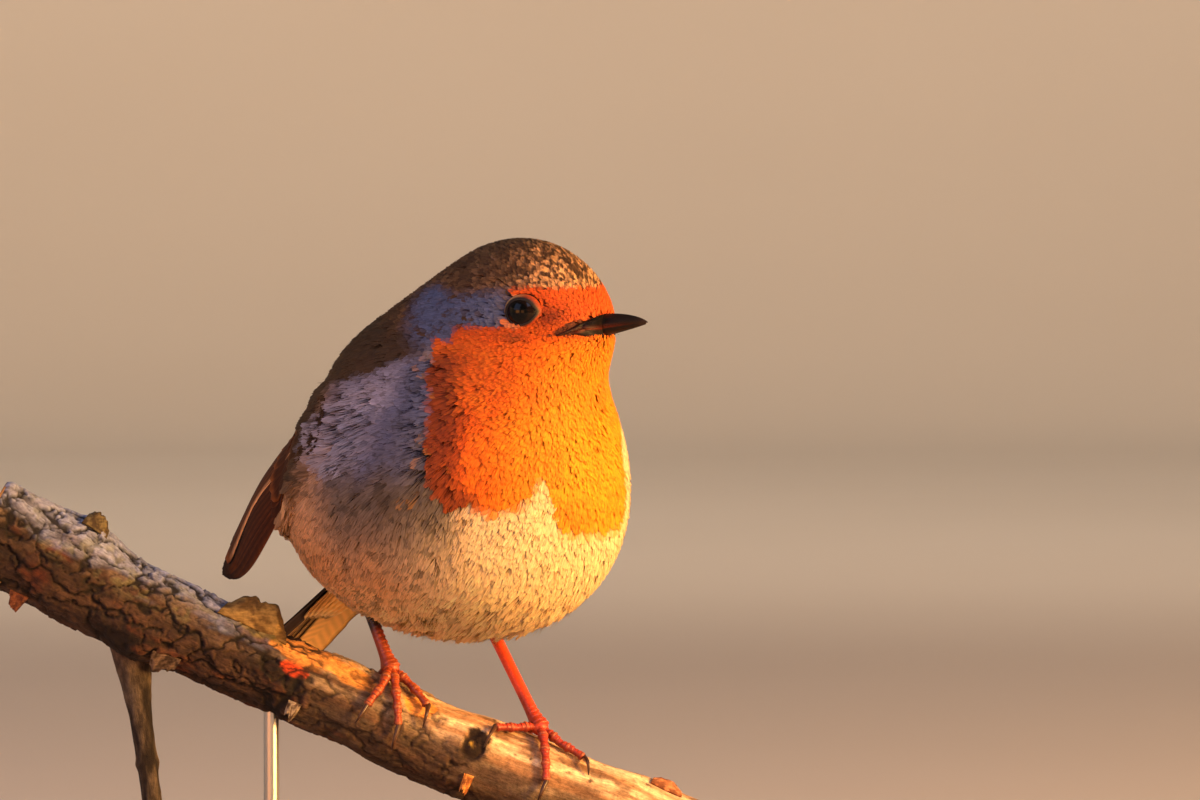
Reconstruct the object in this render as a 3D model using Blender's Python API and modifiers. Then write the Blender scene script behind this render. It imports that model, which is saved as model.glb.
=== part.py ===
"""Life-size European robin, still and perched, on a cut branch and a plain display stand.

Blender 4.5, metres, +Z up. The bird's trunk faces -Y and its left side is +X. The head is turned
to its left. The stand's round base is centred on the origin and lies on Z = 0.
Run it with: blender --background --python part.py
"""

import math
from dataclasses import dataclass

import bmesh
import bpy
import numpy as np
from mathutils import Matrix, Vector

# ---------------------------------------------------------------- driving dimensions
MM = 0.001
GAP = 0.3 * MM  # clearance between pieces that meet

# The body is one smooth blend of egg-shaped forms. Centres and half-sizes are in millimetres.
BLEND = 3.0  # how softly the forms run into each other
TRUNK_CORE = Vector((0.0, -4.0, 98.0))  # every point of trunk and neck is seen from here
HEAD_CENTRE = Vector((0.0, -19.5, 123.2))
HEAD_TURN = math.radians(27.0)
MOST_REACH = 90.0  # farther than any point of the body is from either centre

HEAD_CUT = (Vector((0.0, -16.0, 117.0)), Vector((0.0, -0.42, 1.0)).normalized())
NECK_CUT = (Vector((0.0, -14.0, 109.0)), Vector((0.0, -0.36, 1.0)).normalized())

EYE_FORWARD, EYE_UP = 5.3, 2.3
EYE_RADIUS = 3.9
EYE_SINK = 3.0  # from the coat's surface to the middle of the eyeball

BILL_ROOT, BILL_TIP = 9.5, 25.3  # forward of the head's centre; the root is inside the face
BILL_HALF_WIDTH = 2.7
BILL_LINE_ROOT, BILL_LINE_TIP = -1.1, 0.6  # height of the line between the mandibles
UPPER_DEPTH, LOWER_DEPTH = 3.6, 1.5

# Folded wing: three lines from its front to its tip, as (side, back, height) in millimetres.
WING_LOWER_EDGE = (
    (26.5, 7.0, 98.5), (27.0, 15.0, 92.0), (25.5, 25.0, 82.0), (23.0, 35.0, 75.0), (20.0, 47.0, 71.5),
)
WING_RIDGE = (
    (25.5, 7.5, 104.0), (24.5, 18.0, 99.5), (22.5, 31.0, 91.0), (20.5, 41.5, 80.5), (20.0, 47.5, 73.0),
)
WING_UPPER_EDGE = (
    (21.5, 8.5, 109.0), (16.0, 20.0, 105.5), (12.5, 31.0, 97.5), (15.5, 41.5, 85.0), (19.0, 48.0, 75.0),
)
WING_THICKNESS = 1.4 * MM
WING_CLEARANCE = 0.5  # over the trunk's coat, in millimetres
WING_COVERT_END = 0.34  # share of the wing's length that the coverts take
WING_SECONDARY_END = 0.80
WING_SPLIT = 0.42  # share of the width that the primaries take
WING_SLIT = 0.012  # share of the length between two plates

TAIL_ROOT = Vector((0.0, 16.5, 81.8))
TAIL_LENGTH = 54.5
TAIL_DROP = math.radians(33.0)
TAIL_ROOT_WIDTH, TAIL_TIP_WIDTH = 6.5, 16.5
TAIL_THICKNESS = 2.0 * MM
TAIL_ARCH = 1.2  # how far the middle stands above the sides
TAIL_STEPS = (8, 4)

# The perch lies across the bird. Each station: reach along it, height of its middle, radius.
PERCH_TURN = math.radians(-40.0)
PERCH_FORWARD = 1.3
PERCH_STATIONS = (
    (-89.0, 84.5, 9.8), (-67.5, 73.0, 8.6), (-48.5, 63.7, 7.8), (-30.0, 54.8, 7.6),
    (-4.3, 43.6, 8.0), (16.6, 35.6, 7.8), (46.0, 24.8, 7.2),
)
PERCH_SIDES, PERCH_RINGS = 14, 22
# Swellings of the bark: reach, angle from the top toward the front, height, length, half-angle.
PERCH_KNOTS = (
    (-74.0, -5.0, 2.2, 5.0, 38.0), (2.5, 72.0, 1.3, 4.0, 26.0), (-58.0, 150.0, 1.6, 6.0, 40.0),
    (-22.0, 20.0, 0.5, 4.0, 30.0), (31.0, -60.0, 1.0, 6.0, 40.0),
)
BARK_WAVE, BARK_RIB = 0.18, 0.15  # how far the bark swells along the perch and round it
TWIG_FROM, TWIG_TO = (-62.0, 66.0), (-56.0, 21.0)  # reach and height
TWIG_RADIUS = 2.3

TARSUS_LENGTH = 25.0
TARSUS_RADIUS = 1.05
TARSUS_FLARE = 0.35  # how much thicker the two joints are
FOOT_RADIUS = 1.7
TOE_RADIUS = 0.95
CLAW_RADIUS = 0.62

BASE_RADIUS = 52.0 * MM
BASE_HEIGHT = 7.0 * MM
BASE_EDGE = 1.2 * MM
BASE_SIDES, ROD_SIDES = 40, 16
ROD_RADIUS = 1.5 * MM
ROD_REACHES = (-35.0, 23.0)  # where the rods meet the perch
ROD_DEPTH = 5.0 * MM  # how far each goes up into the wood


@dataclass(frozen=True)
class Form:
    """One egg-shaped form of the body: middle and half-sizes in millimetres, then its turns."""

    centre: tuple
    half: tuple
    yaw: float = 0.0
    pitch: float = 0.0


@dataclass(frozen=True)
class WingPiece:
    """A plate's share of the wing's length and width, its grid, and which of its ends is rounded."""

    name: str
    length: tuple
    width: tuple
    steps: tuple
    round_front: bool = False


@dataclass(frozen=True)
class Toe:
    """A toe's route over the perch: reach and angle of its middle and end, then of its claw's tip."""

    middle: tuple
    end: tuple
    claw: tuple


QUILLS_START = WING_COVERT_END + WING_SLIT
SECONDARIES_LOW = WING_SPLIT + WING_SLIT * 2.0
WING_PIECES = (
    WingPiece("coverts", (0.0, WING_COVERT_END), (0.0, 1.0), (6, 6), round_front=True),
    WingPiece("secondaries", (QUILLS_START, WING_SECONDARY_END), (SECONDARIES_LOW, 1.0), (7, 4)),
    WingPiece("primaries", (QUILLS_START, 1.0), (0.0, WING_SPLIT), (10, 3)),
)


def head_point(forward, side, up):
    """A place in the turned head's own terms, in millimetres; side is to the bird's left."""
    ahead = Vector((math.sin(HEAD_TURN), -math.cos(HEAD_TURN), 0.0))
    left = Vector((math.cos(HEAD_TURN), math.sin(HEAD_TURN), 0.0))
    return HEAD_CENTRE + ahead * forward + left * side + Vector((0.0, 0.0, up))


def body_forms():
    """The forms that blend into the coat's outer surface, from the belly up to the crown."""
    tail_pitch, back_pitch = math.radians(-45.0), math.radians(-35.0)
    return (
        Form((0.0, -1.8, 88.0), (28.3, 29.5, 23.3)),  # belly
        Form((0.0, -10.0, 96.0), (25.0, 25.0, 25.0)),  # breast
        Form((0.0, -13.0, 83.5), (20.0, 16.5, 16.0)),  # lower breast
        Form((8.5, 7.0, 89.5), (20.0, 22.5, 19.5)),  # left flank
        Form((-8.5, 7.0, 89.5), (20.0, 22.5, 19.5)),  # right flank
        Form((0.0, 5.0, 110.0), (23.0, 20.5, 15.5), pitch=back_pitch),  # mantle
        Form((0.0, 26.0, 84.0), (14.0, 14.0, 10.0), pitch=tail_pitch),  # rump
        Form((0.0, -10.0, 119.0), (17.0, 16.0, 14.0)),  # neck
        Form(tuple(head_point(0.0, 0.0, 1.5)), (12.8, 15.0, 14.0), yaw=HEAD_TURN),  # crown
        Form(tuple(head_point(8.0, 0.0, -1.5)), (9.0, 8.0, 8.5), yaw=HEAD_TURN),  # face
        Form(tuple(head_point(2.8, 0.0, -12.5)), (13.0, 8.2, 9.5), yaw=HEAD_TURN),  # throat
    )


FORMS = body_forms()


def coat_depth(points):
    """How far each point, in millimetres, lies outside the coat's surface; inside is negative."""
    total = np.zeros(len(points))
    for form in FORMS:
        turn = np.array((Matrix.Rotation(form.yaw, 3, "Z") @ Matrix.Rotation(form.pitch, 3, "X")))
        local = (points - np.array(form.centre)) @ turn
        half = np.array(form.half)
        ratio = np.linalg.norm(local / half, axis=1)
        slope = np.linalg.norm(local / half**2, axis=1) + 1e-9
        total += np.exp(-ratio * (ratio - 1.0) / slope / BLEND)
    return -BLEND * np.log(total)


def coat_points(origin, directions):
    """Where rays from the origin leave the coat's surface, found by halving."""
    origin, near = np.array(origin), np.zeros(len(directions))
    far = np.full(len(directions), MOST_REACH)
    for _ in range(26):
        middle = (near + far) / 2.0
        inside = coat_depth(origin + directions * middle[:, None]) < 0.0
        near, far = np.where(inside, middle, near), np.where(inside, far, middle)
    return origin + directions * near[:, None]


def pushed_out(point, clearance):
    """The point itself, or the nearest place that clears the coat's surface."""
    place = np.array(point, dtype=float)
    step = 0.05
    for _ in range(12):
        around = place + np.vstack((np.zeros(3), np.eye(3) * step))
        depth = coat_depth(around)
        if depth[0] >= clearance:
            break
        slope = (depth[1:] - depth[0]) / step
        place = place + slope / np.dot(slope, slope) * (clearance - depth[0] + 1e-3)
    return Vector(place)


def curve_point(points, share):
    """A point on the smooth (Catmull-Rom) curve through the points; share runs from 0 to 1."""
    scaled = min(max(share, 0.0), 1.0) * (len(points) - 1)
    index = min(int(scaled), len(points) - 2)
    t = scaled - index
    p1, p2 = Vector(points[index]), Vector(points[index + 1])
    p0 = Vector(points[index - 1]) if index > 0 else p1 * 2.0 - p2
    p3 = Vector(points[index + 2]) if index + 2 < len(points) else p2 * 2.0 - p1
    return 0.5 * (p1 * 2.0 + (p2 - p0) * t + (p0 * 2.0 - p1 * 5.0 + p2 * 4.0 - p3) * t**2
                  + (p1 * 3.0 - p0 - p2 * 3.0 + p3) * t**3)


# ---------------------------------------------------------------- materials and objects
def colour_of(hex_code):
    """Linear RGBA from an sRGB hex code."""
    channels = [int(hex_code[i : i + 2], 16) / 255.0 for i in (0, 2, 4)]
    linear = [c / 12.92 if c <= 0.04045 else ((c + 0.055) / 1.055) ** 2.4 for c in channels]
    return (*linear, 1.0)


def material(name, hex_code, roughness, metallic=0.0):
    """A Principled BSDF material, made once for each name."""
    made = bpy.data.materials.get(name)
    if made:
        return made
    made = bpy.data.materials.new(name)
    made.use_nodes = True
    shader = made.node_tree.nodes["Principled BSDF"]
    shader.inputs["Base Color"].default_value = colour_of(hex_code)
    shader.inputs["Roughness"].default_value = roughness
    shader.inputs["Metallic"].default_value = metallic
    made.diffuse_color = colour_of(hex_code)
    return made


FINISHES = {
    "breast": ("plumage_orange", "D9581C", 0.85),
    "brown": ("plumage_olive_brown", "6B5238", 0.85),
    "wing": ("plumage_wing_brown", "5E4530", 0.75),
    "flank": ("plumage_buff", "B08A62", 0.9),
    "bill": ("horn_dark", "1C1715", 0.3),
    "eye": ("eye_dark", "120C0A", 0.05),
    "leg": ("leg_scutes", "A64528", 0.5),
    "claw": ("claw_horn", "3A241C", 0.4),
    "bark": ("branch_bark", "8A6A4C", 0.9),
    "stand": ("stand_painted", "26262A", 0.45),
    "rod": ("stand_rod_steel", "8E8E92", 0.35, 1.0),
}


def finish(key):
    """The named finish as a material."""
    return material(*FINISHES[key])


class Workshop:
    """Holds the two collections and puts finished meshes into them."""

    def __init__(self):
        for old in list(bpy.data.objects):
            bpy.data.objects.remove(old)
        self.parts = self._collection("european_robin")
        self.cutters = self._collection("cutters")
        self.root = bpy.data.objects.new("display", None)
        self.parts.objects.link(self.root)

    @staticmethod
    def _collection(name):
        collection = bpy.data.collections.new(name)
        bpy.context.scene.collection.children.link(collection)
        return collection

    def _object(self, name, bm, origin, collection, thickness):
        if not thickness:
            bmesh.ops.recalc_face_normals(bm, faces=bm.faces)
            if bm.calc_volume(signed=True) < 0.0:
                bmesh.ops.reverse_faces(bm, faces=bm.faces)
        bmesh.ops.translate(bm, vec=-Vector(origin), verts=bm.verts)
        mesh = bpy.data.meshes.new(name)
        bm.to_mesh(mesh)
        bm.free()
        mesh.shade_smooth()
        mesh.set_sharp_from_angle(angle=math.radians(40.0))
        made = bpy.data.objects.new(name, mesh)
        made.location = origin
        collection.objects.link(made)
        if thickness:
            solid = made.modifiers.new("thickness", "SOLIDIFY")
            solid.thickness = thickness
            solid.offset = 1.0
        return made

    def part(self, name, bm, key, origin=(0.0, 0.0, 0.0), thickness=0.0):
        """A finished sub-part with its origin at the given place; an open plate is thickened."""
        made = self._object(name, bm, origin, self.parts, thickness)
        made.data.materials.append(finish(key))
        made.parent = self.root
        return made

    def cutter(self, name, bm, thickness=0.0):
        """A hidden shape that cuts or joins others."""
        made = self._object(name, bm, (0.0, 0.0, 0.0), self.cutters, thickness)
        made.hide_render = True
        made.display_type = "WIRE"
        return made

    @staticmethod
    def boolean(target, other, operation="DIFFERENCE"):
        """Cuts the other shape from the target, or joins it on."""
        modifier = target.modifiers.new(f"{operation.lower()}_{other.name}", "BOOLEAN")
        modifier.operation = operation
        modifier.solver = "EXACT"
        modifier.object = other


# ---------------------------------------------------------------- shared shapes
def ball(centre, half, segments=16, rings=10, turn=None):
    """A sphere stretched to three half-sizes, in millimetres."""
    bm = bmesh.new()
    bmesh.ops.create_uvsphere(bm, u_segments=segments, v_segments=rings, radius=1.0)
    bmesh.ops.scale(bm, vec=Vector(half) * MM, verts=bm.verts)
    if turn:
        bmesh.ops.rotate(bm, matrix=turn, verts=bm.verts)
    bmesh.ops.translate(bm, vec=Vector(centre) * MM, verts=bm.verts)
    return bm


def bent_rod(place, sides, rings):
    """A cylinder primitive bent into shape: place(share, angle) gives each point in millimetres."""
    bm = bmesh.new()
    bmesh.ops.create_cone(bm, cap_ends=True, segments=sides, radius1=1.0, radius2=1.0, depth=1.0)
    long_edges = [e for e in bm.edges if abs(e.verts[0].co.z - e.verts[1].co.z) > 0.5]
    bmesh.ops.subdivide_edges(bm, edges=long_edges, cuts=rings - 1)
    for vert in bm.verts:
        vert.co = place(vert.co.z + 0.5, math.atan2(vert.co.y, vert.co.x)) * MM
    return bm


def tube(route, radius, sides, rings, up=Vector((0.0, 0.0, 1.0))):
    """A round rod along a route; route(share) is a point and radius(share) a size, in millimetres."""

    def place(share, angle):
        step = 0.01
        along = (route(min(share + step, 1.0)) - route(max(share - step, 0.0))).normalized()
        across = along.cross(up).normalized()
        lift = across.cross(along)
        size = radius(share)
        return route(share) + across * (math.cos(angle) * size) + lift * (math.sin(angle) * size)

    return bent_rod(place, sides, rings)


def plate(place, steps, outward):
    """An open grid laid on a surface, facing outward: place(share along, share across), in mm."""
    bm = bmesh.new()
    bmesh.ops.create_grid(bm, x_segments=steps[0], y_segments=steps[1], size=0.5)
    for vert in bm.verts:
        vert.co = place(vert.co.x + 0.5, vert.co.y + 0.5) * MM
    bm.normal_update()
    if sum((face.normal for face in bm.faces), Vector()).dot(outward) < 0.0:
        bmesh.ops.reverse_faces(bm, faces=bm.faces)
    return bm


def cut_flat(bm, point, normal, keep_above):
    """Cuts a closed mesh with a plane, keeps one side and closes it with a flat face."""
    bmesh.ops.bisect_plane(
        bm, geom=bm.verts[:] + bm.edges[:] + bm.faces[:], plane_co=point * MM, plane_no=normal,
        clear_inner=keep_above, clear_outer=not keep_above,
    )
    rim = [edge for edge in bm.edges if edge.is_boundary]
    bmesh.ops.holes_fill(bm, edges=rim, sides=0)


# ---------------------------------------------------------------- head, neck and trunk
def body_mesh(centre, segments, rings):
    """A sphere primitive swollen from a centre out to the coat's surface."""
    bm = bmesh.new()
    bmesh.ops.create_uvsphere(bm, u_segments=segments, v_segments=rings, radius=1.0)
    directions = np.array([vert.co.normalized() for vert in bm.verts])
    for vert, point in zip(bm.verts, coat_points(centre, directions)):
        vert.co = Vector(point) * MM
    return bm


def build_body(shop):
    """Head, neck and trunk: one smooth shape parted by two thin cuts."""
    half_gap = GAP / MM / 2.0
    head_point_on, head_normal = HEAD_CUT
    neck_point_on, neck_normal = NECK_CUT

    head = body_mesh(HEAD_CENTRE, 34, 26)
    cut_flat(head, head_point_on + head_normal * half_gap, head_normal, keep_above=True)

    neck = body_mesh(TRUNK_CORE, 36, 40)
    cut_flat(neck, head_point_on - head_normal * half_gap, head_normal, keep_above=False)
    cut_flat(neck, neck_point_on + neck_normal * half_gap, neck_normal, keep_above=True)

    trunk = body_mesh(TRUNK_CORE, 38, 28)
    cut_flat(trunk, neck_point_on - neck_normal * half_gap, neck_normal, keep_above=False)
    return (
        shop.part("head", head, "brown", HEAD_CENTRE * MM),
        shop.part("neck", neck, "breast", neck_point_on * MM),
        shop.part("trunk", trunk, "flank", TRUNK_CORE * MM),
    )


def build_eyes(shop, head):
    """Two eyeballs, each in a socket cut out of the head."""
    grown = EYE_RADIUS + GAP / MM
    for side_name, side in (("right", -1.0), ("left", 1.0)):
        start = head_point(EYE_FORWARD, 0.0, EYE_UP)
        outward = (head_point(0.0, side, 0.0) - HEAD_CENTRE).normalized()
        surface = Vector(coat_points(start, np.array([outward]))[0])
        centre = surface - outward * EYE_SINK
        eye = ball(centre, (EYE_RADIUS,) * 3, 14, 8)
        shop.part(f"eye_{side_name}", eye, "eye", centre * MM)
        shop.boolean(head, shop.cutter(f"socket_{side_name}", ball(centre, (grown,) * 3, 14, 8)))


def bill_half(up, grow=0.0):
    """One mandible, or a slightly grown copy; up is 1 for the upper and -1 for the lower."""
    depth_root = UPPER_DEPTH if up > 0 else LOWER_DEPTH

    def place(share, angle):
        fullness = max(1.0 - share**1.7, 0.0) ** 0.75 + 0.02
        width = BILL_HALF_WIDTH * max(1.0 - share, 0.0) ** 0.85 * (1.0 - 0.25 * share) + 0.12 + grow
        depth = depth_root * fullness + 0.1 + grow * 2.0
        line = BILL_LINE_ROOT + (BILL_LINE_TIP - BILL_LINE_ROOT) * share
        hooked = -0.35 * share**4
        level = line + hooked + up * (GAP / MM / 2.0 - grow)
        rise = max(math.sin(angle), 0.0) * depth * up
        length = (BILL_TIP - (0.4 if up < 0 else 0.0) - BILL_ROOT) + grow * 2.0
        forward = BILL_ROOT - grow + length * share
        return head_point(forward, math.cos(angle) * width, level + rise)

    return bent_rod(place, 10, 7)


def build_bill(shop, head):
    """The two mandibles, closed, with their roots in the face."""
    for name, up in (("bill_upper", 1.0), ("bill_lower", -1.0)):
        shop.part(name, bill_half(up), "bill", head_point(BILL_ROOT, 0.0, 0.0) * MM)
        shop.boolean(head, shop.cutter(f"room_for_{name}", bill_half(up, GAP / MM)))


# ---------------------------------------------------------------- wings and tail
def wing_surface(side, share, across):
    """A point under the folded wing; share runs to the tip, across from the lower to the upper edge."""
    rails = (curve_point(rail, share) for rail in (WING_LOWER_EDGE, WING_RIDGE, WING_UPPER_EDGE))
    lower, ridge, upper = rails
    bow = 4.0 * across * (1.0 - across)
    place = lower.lerp(upper, across) + (ridge - lower.lerp(upper, 0.5)) * bow
    place = pushed_out(place, WING_CLEARANCE)
    return Vector((side * place.x, place.y, place.z))


def wing_piece(side, piece):
    """A plate over part of the wing, facing away from the body, with its free end rounded."""
    start, end = piece.length
    low, high = piece.width
    middle = (low + high) / 2.0

    def place(along, across):
        free = 1.0 - along if piece.round_front else along
        rounding = 1.0 - 0.5 * max(0.0, (free - 0.7) / 0.3) ** 2
        share = start + (end - start) * along
        return wing_surface(side, share, middle + (low + (high - low) * across - middle) * rounding)

    return plate(place, piece.steps, Vector((side, 0.0, 0.0)))


def build_wings(shop):
    """Each folded wing in three plates: coverts, secondaries above and primaries below."""
    for side_name, side in (("right", -1.0), ("left", 1.0)):
        for piece in WING_PIECES:
            name = f"wing_{side_name}_{piece.name}"
            origin = wing_surface(side, piece.length[0], 0.5) * MM
            shop.part(name, wing_piece(side, piece), "wing", origin, WING_THICKNESS)


def tail_surface(along, across, grow=0.0):
    """A point of the tail's underside; grow widens and lengthens it all round, in millimetres."""
    back = Vector((0.0, math.cos(TAIL_DROP), -math.sin(TAIL_DROP)))
    above = Vector((0.0, math.sin(TAIL_DROP), math.cos(TAIL_DROP)))
    width = TAIL_ROOT_WIDTH + (TAIL_TIP_WIDTH - TAIL_ROOT_WIDTH) * along**0.8 + grow * 2.0
    sideways = (across - 0.5) * width
    arch = TAIL_ARCH * (1.0 - (2.0 * across - 1.0) ** 2)
    length = (TAIL_LENGTH + grow * 2.0) * along - grow
    return TAIL_ROOT + back * length + above * (arch - grow) + Vector((sideways, 0.0, 0.0))


def build_tail(shop, trunk):
    """The closed tail, its root in the rump."""
    above = Vector((0.0, 0.0, 1.0))
    grow = GAP / MM
    tail = plate(tail_surface, TAIL_STEPS, above)
    shop.part("tail", tail, "wing", TAIL_ROOT * MM, TAIL_THICKNESS)
    room = plate(lambda along, across: tail_surface(along, across, grow), TAIL_STEPS, above)
    shop.boolean(trunk, shop.cutter("room_for_tail", room, TAIL_THICKNESS + 2.0 * GAP))


# ---------------------------------------------------------------- perch and stand
def perch_axes(reach):
    """The perch's middle, its upward normal and its radius at a reach along it."""
    stations = [Vector(station) for station in PERCH_STATIONS]
    share = np.interp(reach, [s.x for s in stations], np.linspace(0.0, 1.0, len(stations)))
    here, step = curve_point(stations, share), 0.002
    ahead = curve_point(stations, share + step) - curve_point(stations, share - step)
    along = Vector((math.cos(PERCH_TURN), math.sin(PERCH_TURN), 0.0))
    front = Vector((math.sin(PERCH_TURN), -math.cos(PERCH_TURN), 0.0))
    tangent = (along * ahead.x + Vector((0.0, 0.0, ahead.y))).normalized()
    middle = along * reach + front * PERCH_FORWARD + Vector((0.0, 0.0, here.y))
    return middle, tangent.cross(front) * (1.0 if tangent.cross(front).z > 0 else -1.0), front, here.z


def perch_surface(reach, degrees, height=0.0):
    """A place on or above the bark; degrees run from the top toward the front."""
    middle, above, front, radius = perch_axes(reach)
    angle = math.radians(degrees)
    ripple = BARK_WAVE * math.sin(reach * 0.43 + 2.0 * math.sin(angle))
    ripple += BARK_RIB * math.sin(3.0 * angle + reach * 0.21)
    for knot_reach, knot_degrees, knot_height, knot_length, knot_half in PERCH_KNOTS:
        turned = (degrees - knot_degrees + 180.0) % 360.0 - 180.0
        away = ((reach - knot_reach) / knot_length) ** 2 + (turned / knot_half) ** 2
        ripple += knot_height * math.exp(-away)
    size = radius + ripple + height
    return middle + above * (math.cos(angle) * size) + front * (math.sin(angle) * size)


def twig_mesh(grow=0.0):
    """The side twig, or a slightly grown copy: thick where it leaves the branch, cut off below."""
    start, end = perch_axes(TWIG_FROM[0])[0], perch_axes(TWIG_TO[0])[0]
    start.z, end.z = TWIG_FROM[1], TWIG_TO[1]
    middle = start.lerp(end, 0.45) + (start - end).cross(Vector((0.0, 0.0, 1.0))) * 0.02

    def size(share):
        return TWIG_RADIUS * (1.0 + 0.9 * math.exp(-((share / 0.28) ** 2)) - 0.25 * share) + grow

    across = Vector((1.0, 0.0, 0.0))
    return tube(lambda share: curve_point((start, middle, end), share), size, 10, 10, up=across)


def build_perch(shop):
    """The cut length of branch, and its side twig set in a hole in it."""
    first, last = PERCH_STATIONS[0][0], PERCH_STATIONS[-1][0]
    wood = bent_rod(
        lambda share, angle: perch_surface(first + (last - first) * share, math.degrees(angle)),
        PERCH_SIDES, PERCH_RINGS,
    )
    root = perch_axes(TWIG_FROM[0])[0] * MM
    perch = shop.part("perch", wood, "bark", root)
    shop.part("perch_twig", twig_mesh(), "bark", root)
    shop.boolean(perch, shop.cutter("room_for_twig", twig_mesh(GAP / MM)))
    return perch


def upright(radius, low, high, sides, x=0.0, y=0.0):
    """An upright cylinder primitive between two heights, in metres."""
    bm = bmesh.new()
    bmesh.ops.create_cone(
        bm, cap_ends=True, segments=sides, radius1=radius, radius2=radius, depth=high - low,
    )
    bmesh.ops.translate(bm, vec=(x, y, (low + high) / 2.0), verts=bm.verts)
    return bm


def build_stand(shop, perch):
    """A round base and two steel rods that go up into the perch."""
    base = shop.part("stand_base", upright(BASE_RADIUS, 0.0, BASE_HEIGHT, BASE_SIDES), "stand")
    bevel = base.modifiers.new("edge", "BEVEL")
    bevel.width = BASE_EDGE
    bevel.segments = 2
    bevel.limit_method = "ANGLE"
    for number, reach in enumerate(ROD_REACHES, 1):
        foot = perch_axes(reach)[0] * MM
        bottom = BASE_HEIGHT + GAP
        top = perch_surface(reach, 180.0).z * MM + ROD_DEPTH
        rod = upright(ROD_RADIUS, bottom, top, ROD_SIDES, foot.x, foot.y)
        shop.part(f"stand_rod_{number}", rod, "rod", (foot.x, foot.y, bottom))
        hole = upright(ROD_RADIUS + GAP, bottom, top + GAP, ROD_SIDES, foot.x, foot.y)
        shop.boolean(perch, shop.cutter(f"hole_for_rod_{number}", hole))


# ---------------------------------------------------------------- legs and feet
# Toe routes as (reach from the foot, degrees round the perch). Toe 1 points back, 2 is the inner.
FEET = {
    "right": (-16.4, 8.0, (0.0, 13.0, 21.4), {
        1: Toe((-0.8, -38.0), (0.6, -88.0), (1.2, -128.0)),
        2: Toe((4.2, 22.0), (8.6, 46.0), (9.2, 74.0)),
        3: Toe((2.6, 48.0), (5.2, 84.0), (5.8, 118.0)),
        4: Toe((-0.2, 46.0), (-1.2, 78.0), (-1.8, 104.0)),
    }),
    "left": (12.2, 8.0, (-0.5, 15.2, 19.8), {
        1: Toe((-1.6, -38.0), (-0.6, -86.0), (0.4, -126.0)),
        2: Toe((-3.8, 24.0), (-7.6, 40.0), (-8.2, 70.0)),
        3: Toe((2.2, 46.0), (4.2, 82.0), (4.0, 112.0)),
        4: Toe((4.5, 22.0), (9.2, 32.0), (11.0, 54.0)),
    }),
}


def toe_route(reach, degrees, toe):
    """The toe's points from the foot to its end, and its claw's points, clear of the bark."""
    rest = TOE_RADIUS + GAP / MM * 1.3
    places = [perch_surface(reach, degrees, FOOT_RADIUS + 0.35)]
    quarter = (toe.middle[0] * 0.5, (degrees + toe.middle[1]) / 2.0)
    places.append(perch_surface(reach + quarter[0], quarter[1], rest + 0.5))
    places.append(perch_surface(reach + toe.middle[0], toe.middle[1], rest + 0.1))
    halfway = tuple((a + b) / 2.0 for a, b in zip(toe.middle, toe.end))
    places.append(perch_surface(reach + halfway[0], halfway[1], rest + 0.1))
    places.append(perch_surface(reach + toe.end[0], toe.end[1], rest))
    return places


def claw_route(reach, toe):
    """The claw's points: out over the bark and back down to it at the tip."""
    lean = tuple((a + b) / 2.0 for a, b in zip(toe.end, toe.claw))
    first = perch_surface(reach + toe.end[0], toe.end[1], TOE_RADIUS + GAP / MM * 1.3)
    middle = perch_surface(reach + lean[0], lean[1], TOE_RADIUS + 1.0)
    tip = perch_surface(reach + toe.claw[0], toe.claw[1], 0.55)
    begin = first + (middle - first).normalized() * (GAP / MM + 0.05)
    return begin, middle, tip


def toe_size(share):
    """A toe's radius: knuckles along it and a rounded end."""
    knuckles = 1.0 + 0.1 * math.cos(share * 3.0 * math.tau)
    rounding = math.sqrt(max(1.0 - max((share - 0.9) / 0.1, 0.0) ** 2, 0.08))
    return TOE_RADIUS * (1.05 - 0.22 * share) * knuckles * rounding


def claw_size(share):
    """A claw's radius, tapering to a fine point."""
    return CLAW_RADIUS * (1.0 - share) ** 0.7 + 0.09


def build_leg(shop, side_name, trunk):
    """A bare tarsus and a foot that grips the perch, with its four claws."""
    reach, degrees, lean, toes = FEET[side_name]
    joint = perch_surface(reach, degrees, FOOT_RADIUS + GAP / MM + 0.1)
    ankle = joint + Vector(lean).normalized() * TARSUS_LENGTH
    shin_start = joint + (ankle - joint).normalized() * (FOOT_RADIUS + GAP / MM)
    across = Vector((1.0, 0.0, 0.0))

    def shin(grow):
        def size(share):
            return TARSUS_RADIUS * (1.0 + TARSUS_FLARE * (2.0 * share - 1.0) ** 4) + grow

        return tube(lambda share: shin_start.lerp(ankle, share), size, 10, 6, up=across)

    shop.part(f"tarsus_{side_name}", shin(0.0), "leg", shin_start * MM)
    shop.boolean(trunk, shop.cutter(f"room_for_tarsus_{side_name}", shin(GAP / MM)))
    foot = shop.part(f"foot_{side_name}", ball(joint, (FOOT_RADIUS,) * 3, 10, 6), "leg", joint * MM)
    for number, toe in toes.items():
        places = toe_route(reach, degrees, toe)
        bm = tube(lambda s: curve_point(places, s), toe_size, 6, 8, up=across)
        shop.boolean(foot, shop.cutter(f"toe_{side_name}_{number}", bm), "UNION")
        claw = claw_route(reach, toe)
        bm = tube(lambda s: curve_point(claw, s), claw_size, 6, 5, up=across)
        shop.part(f"claw_{side_name}_{number}", bm, "claw", claw[0] * MM)


def main():
    """Builds the bird from the head down, then what it stands on."""
    shop = Workshop()
    head, _, trunk = build_body(shop)
    build_eyes(shop, head)
    build_bill(shop, head)
    build_wings(shop)
    build_tail(shop, trunk)
    for side_name in FEET:
        build_leg(shop, side_name, trunk)
    build_stand(shop, build_perch(shop))


main()
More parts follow.
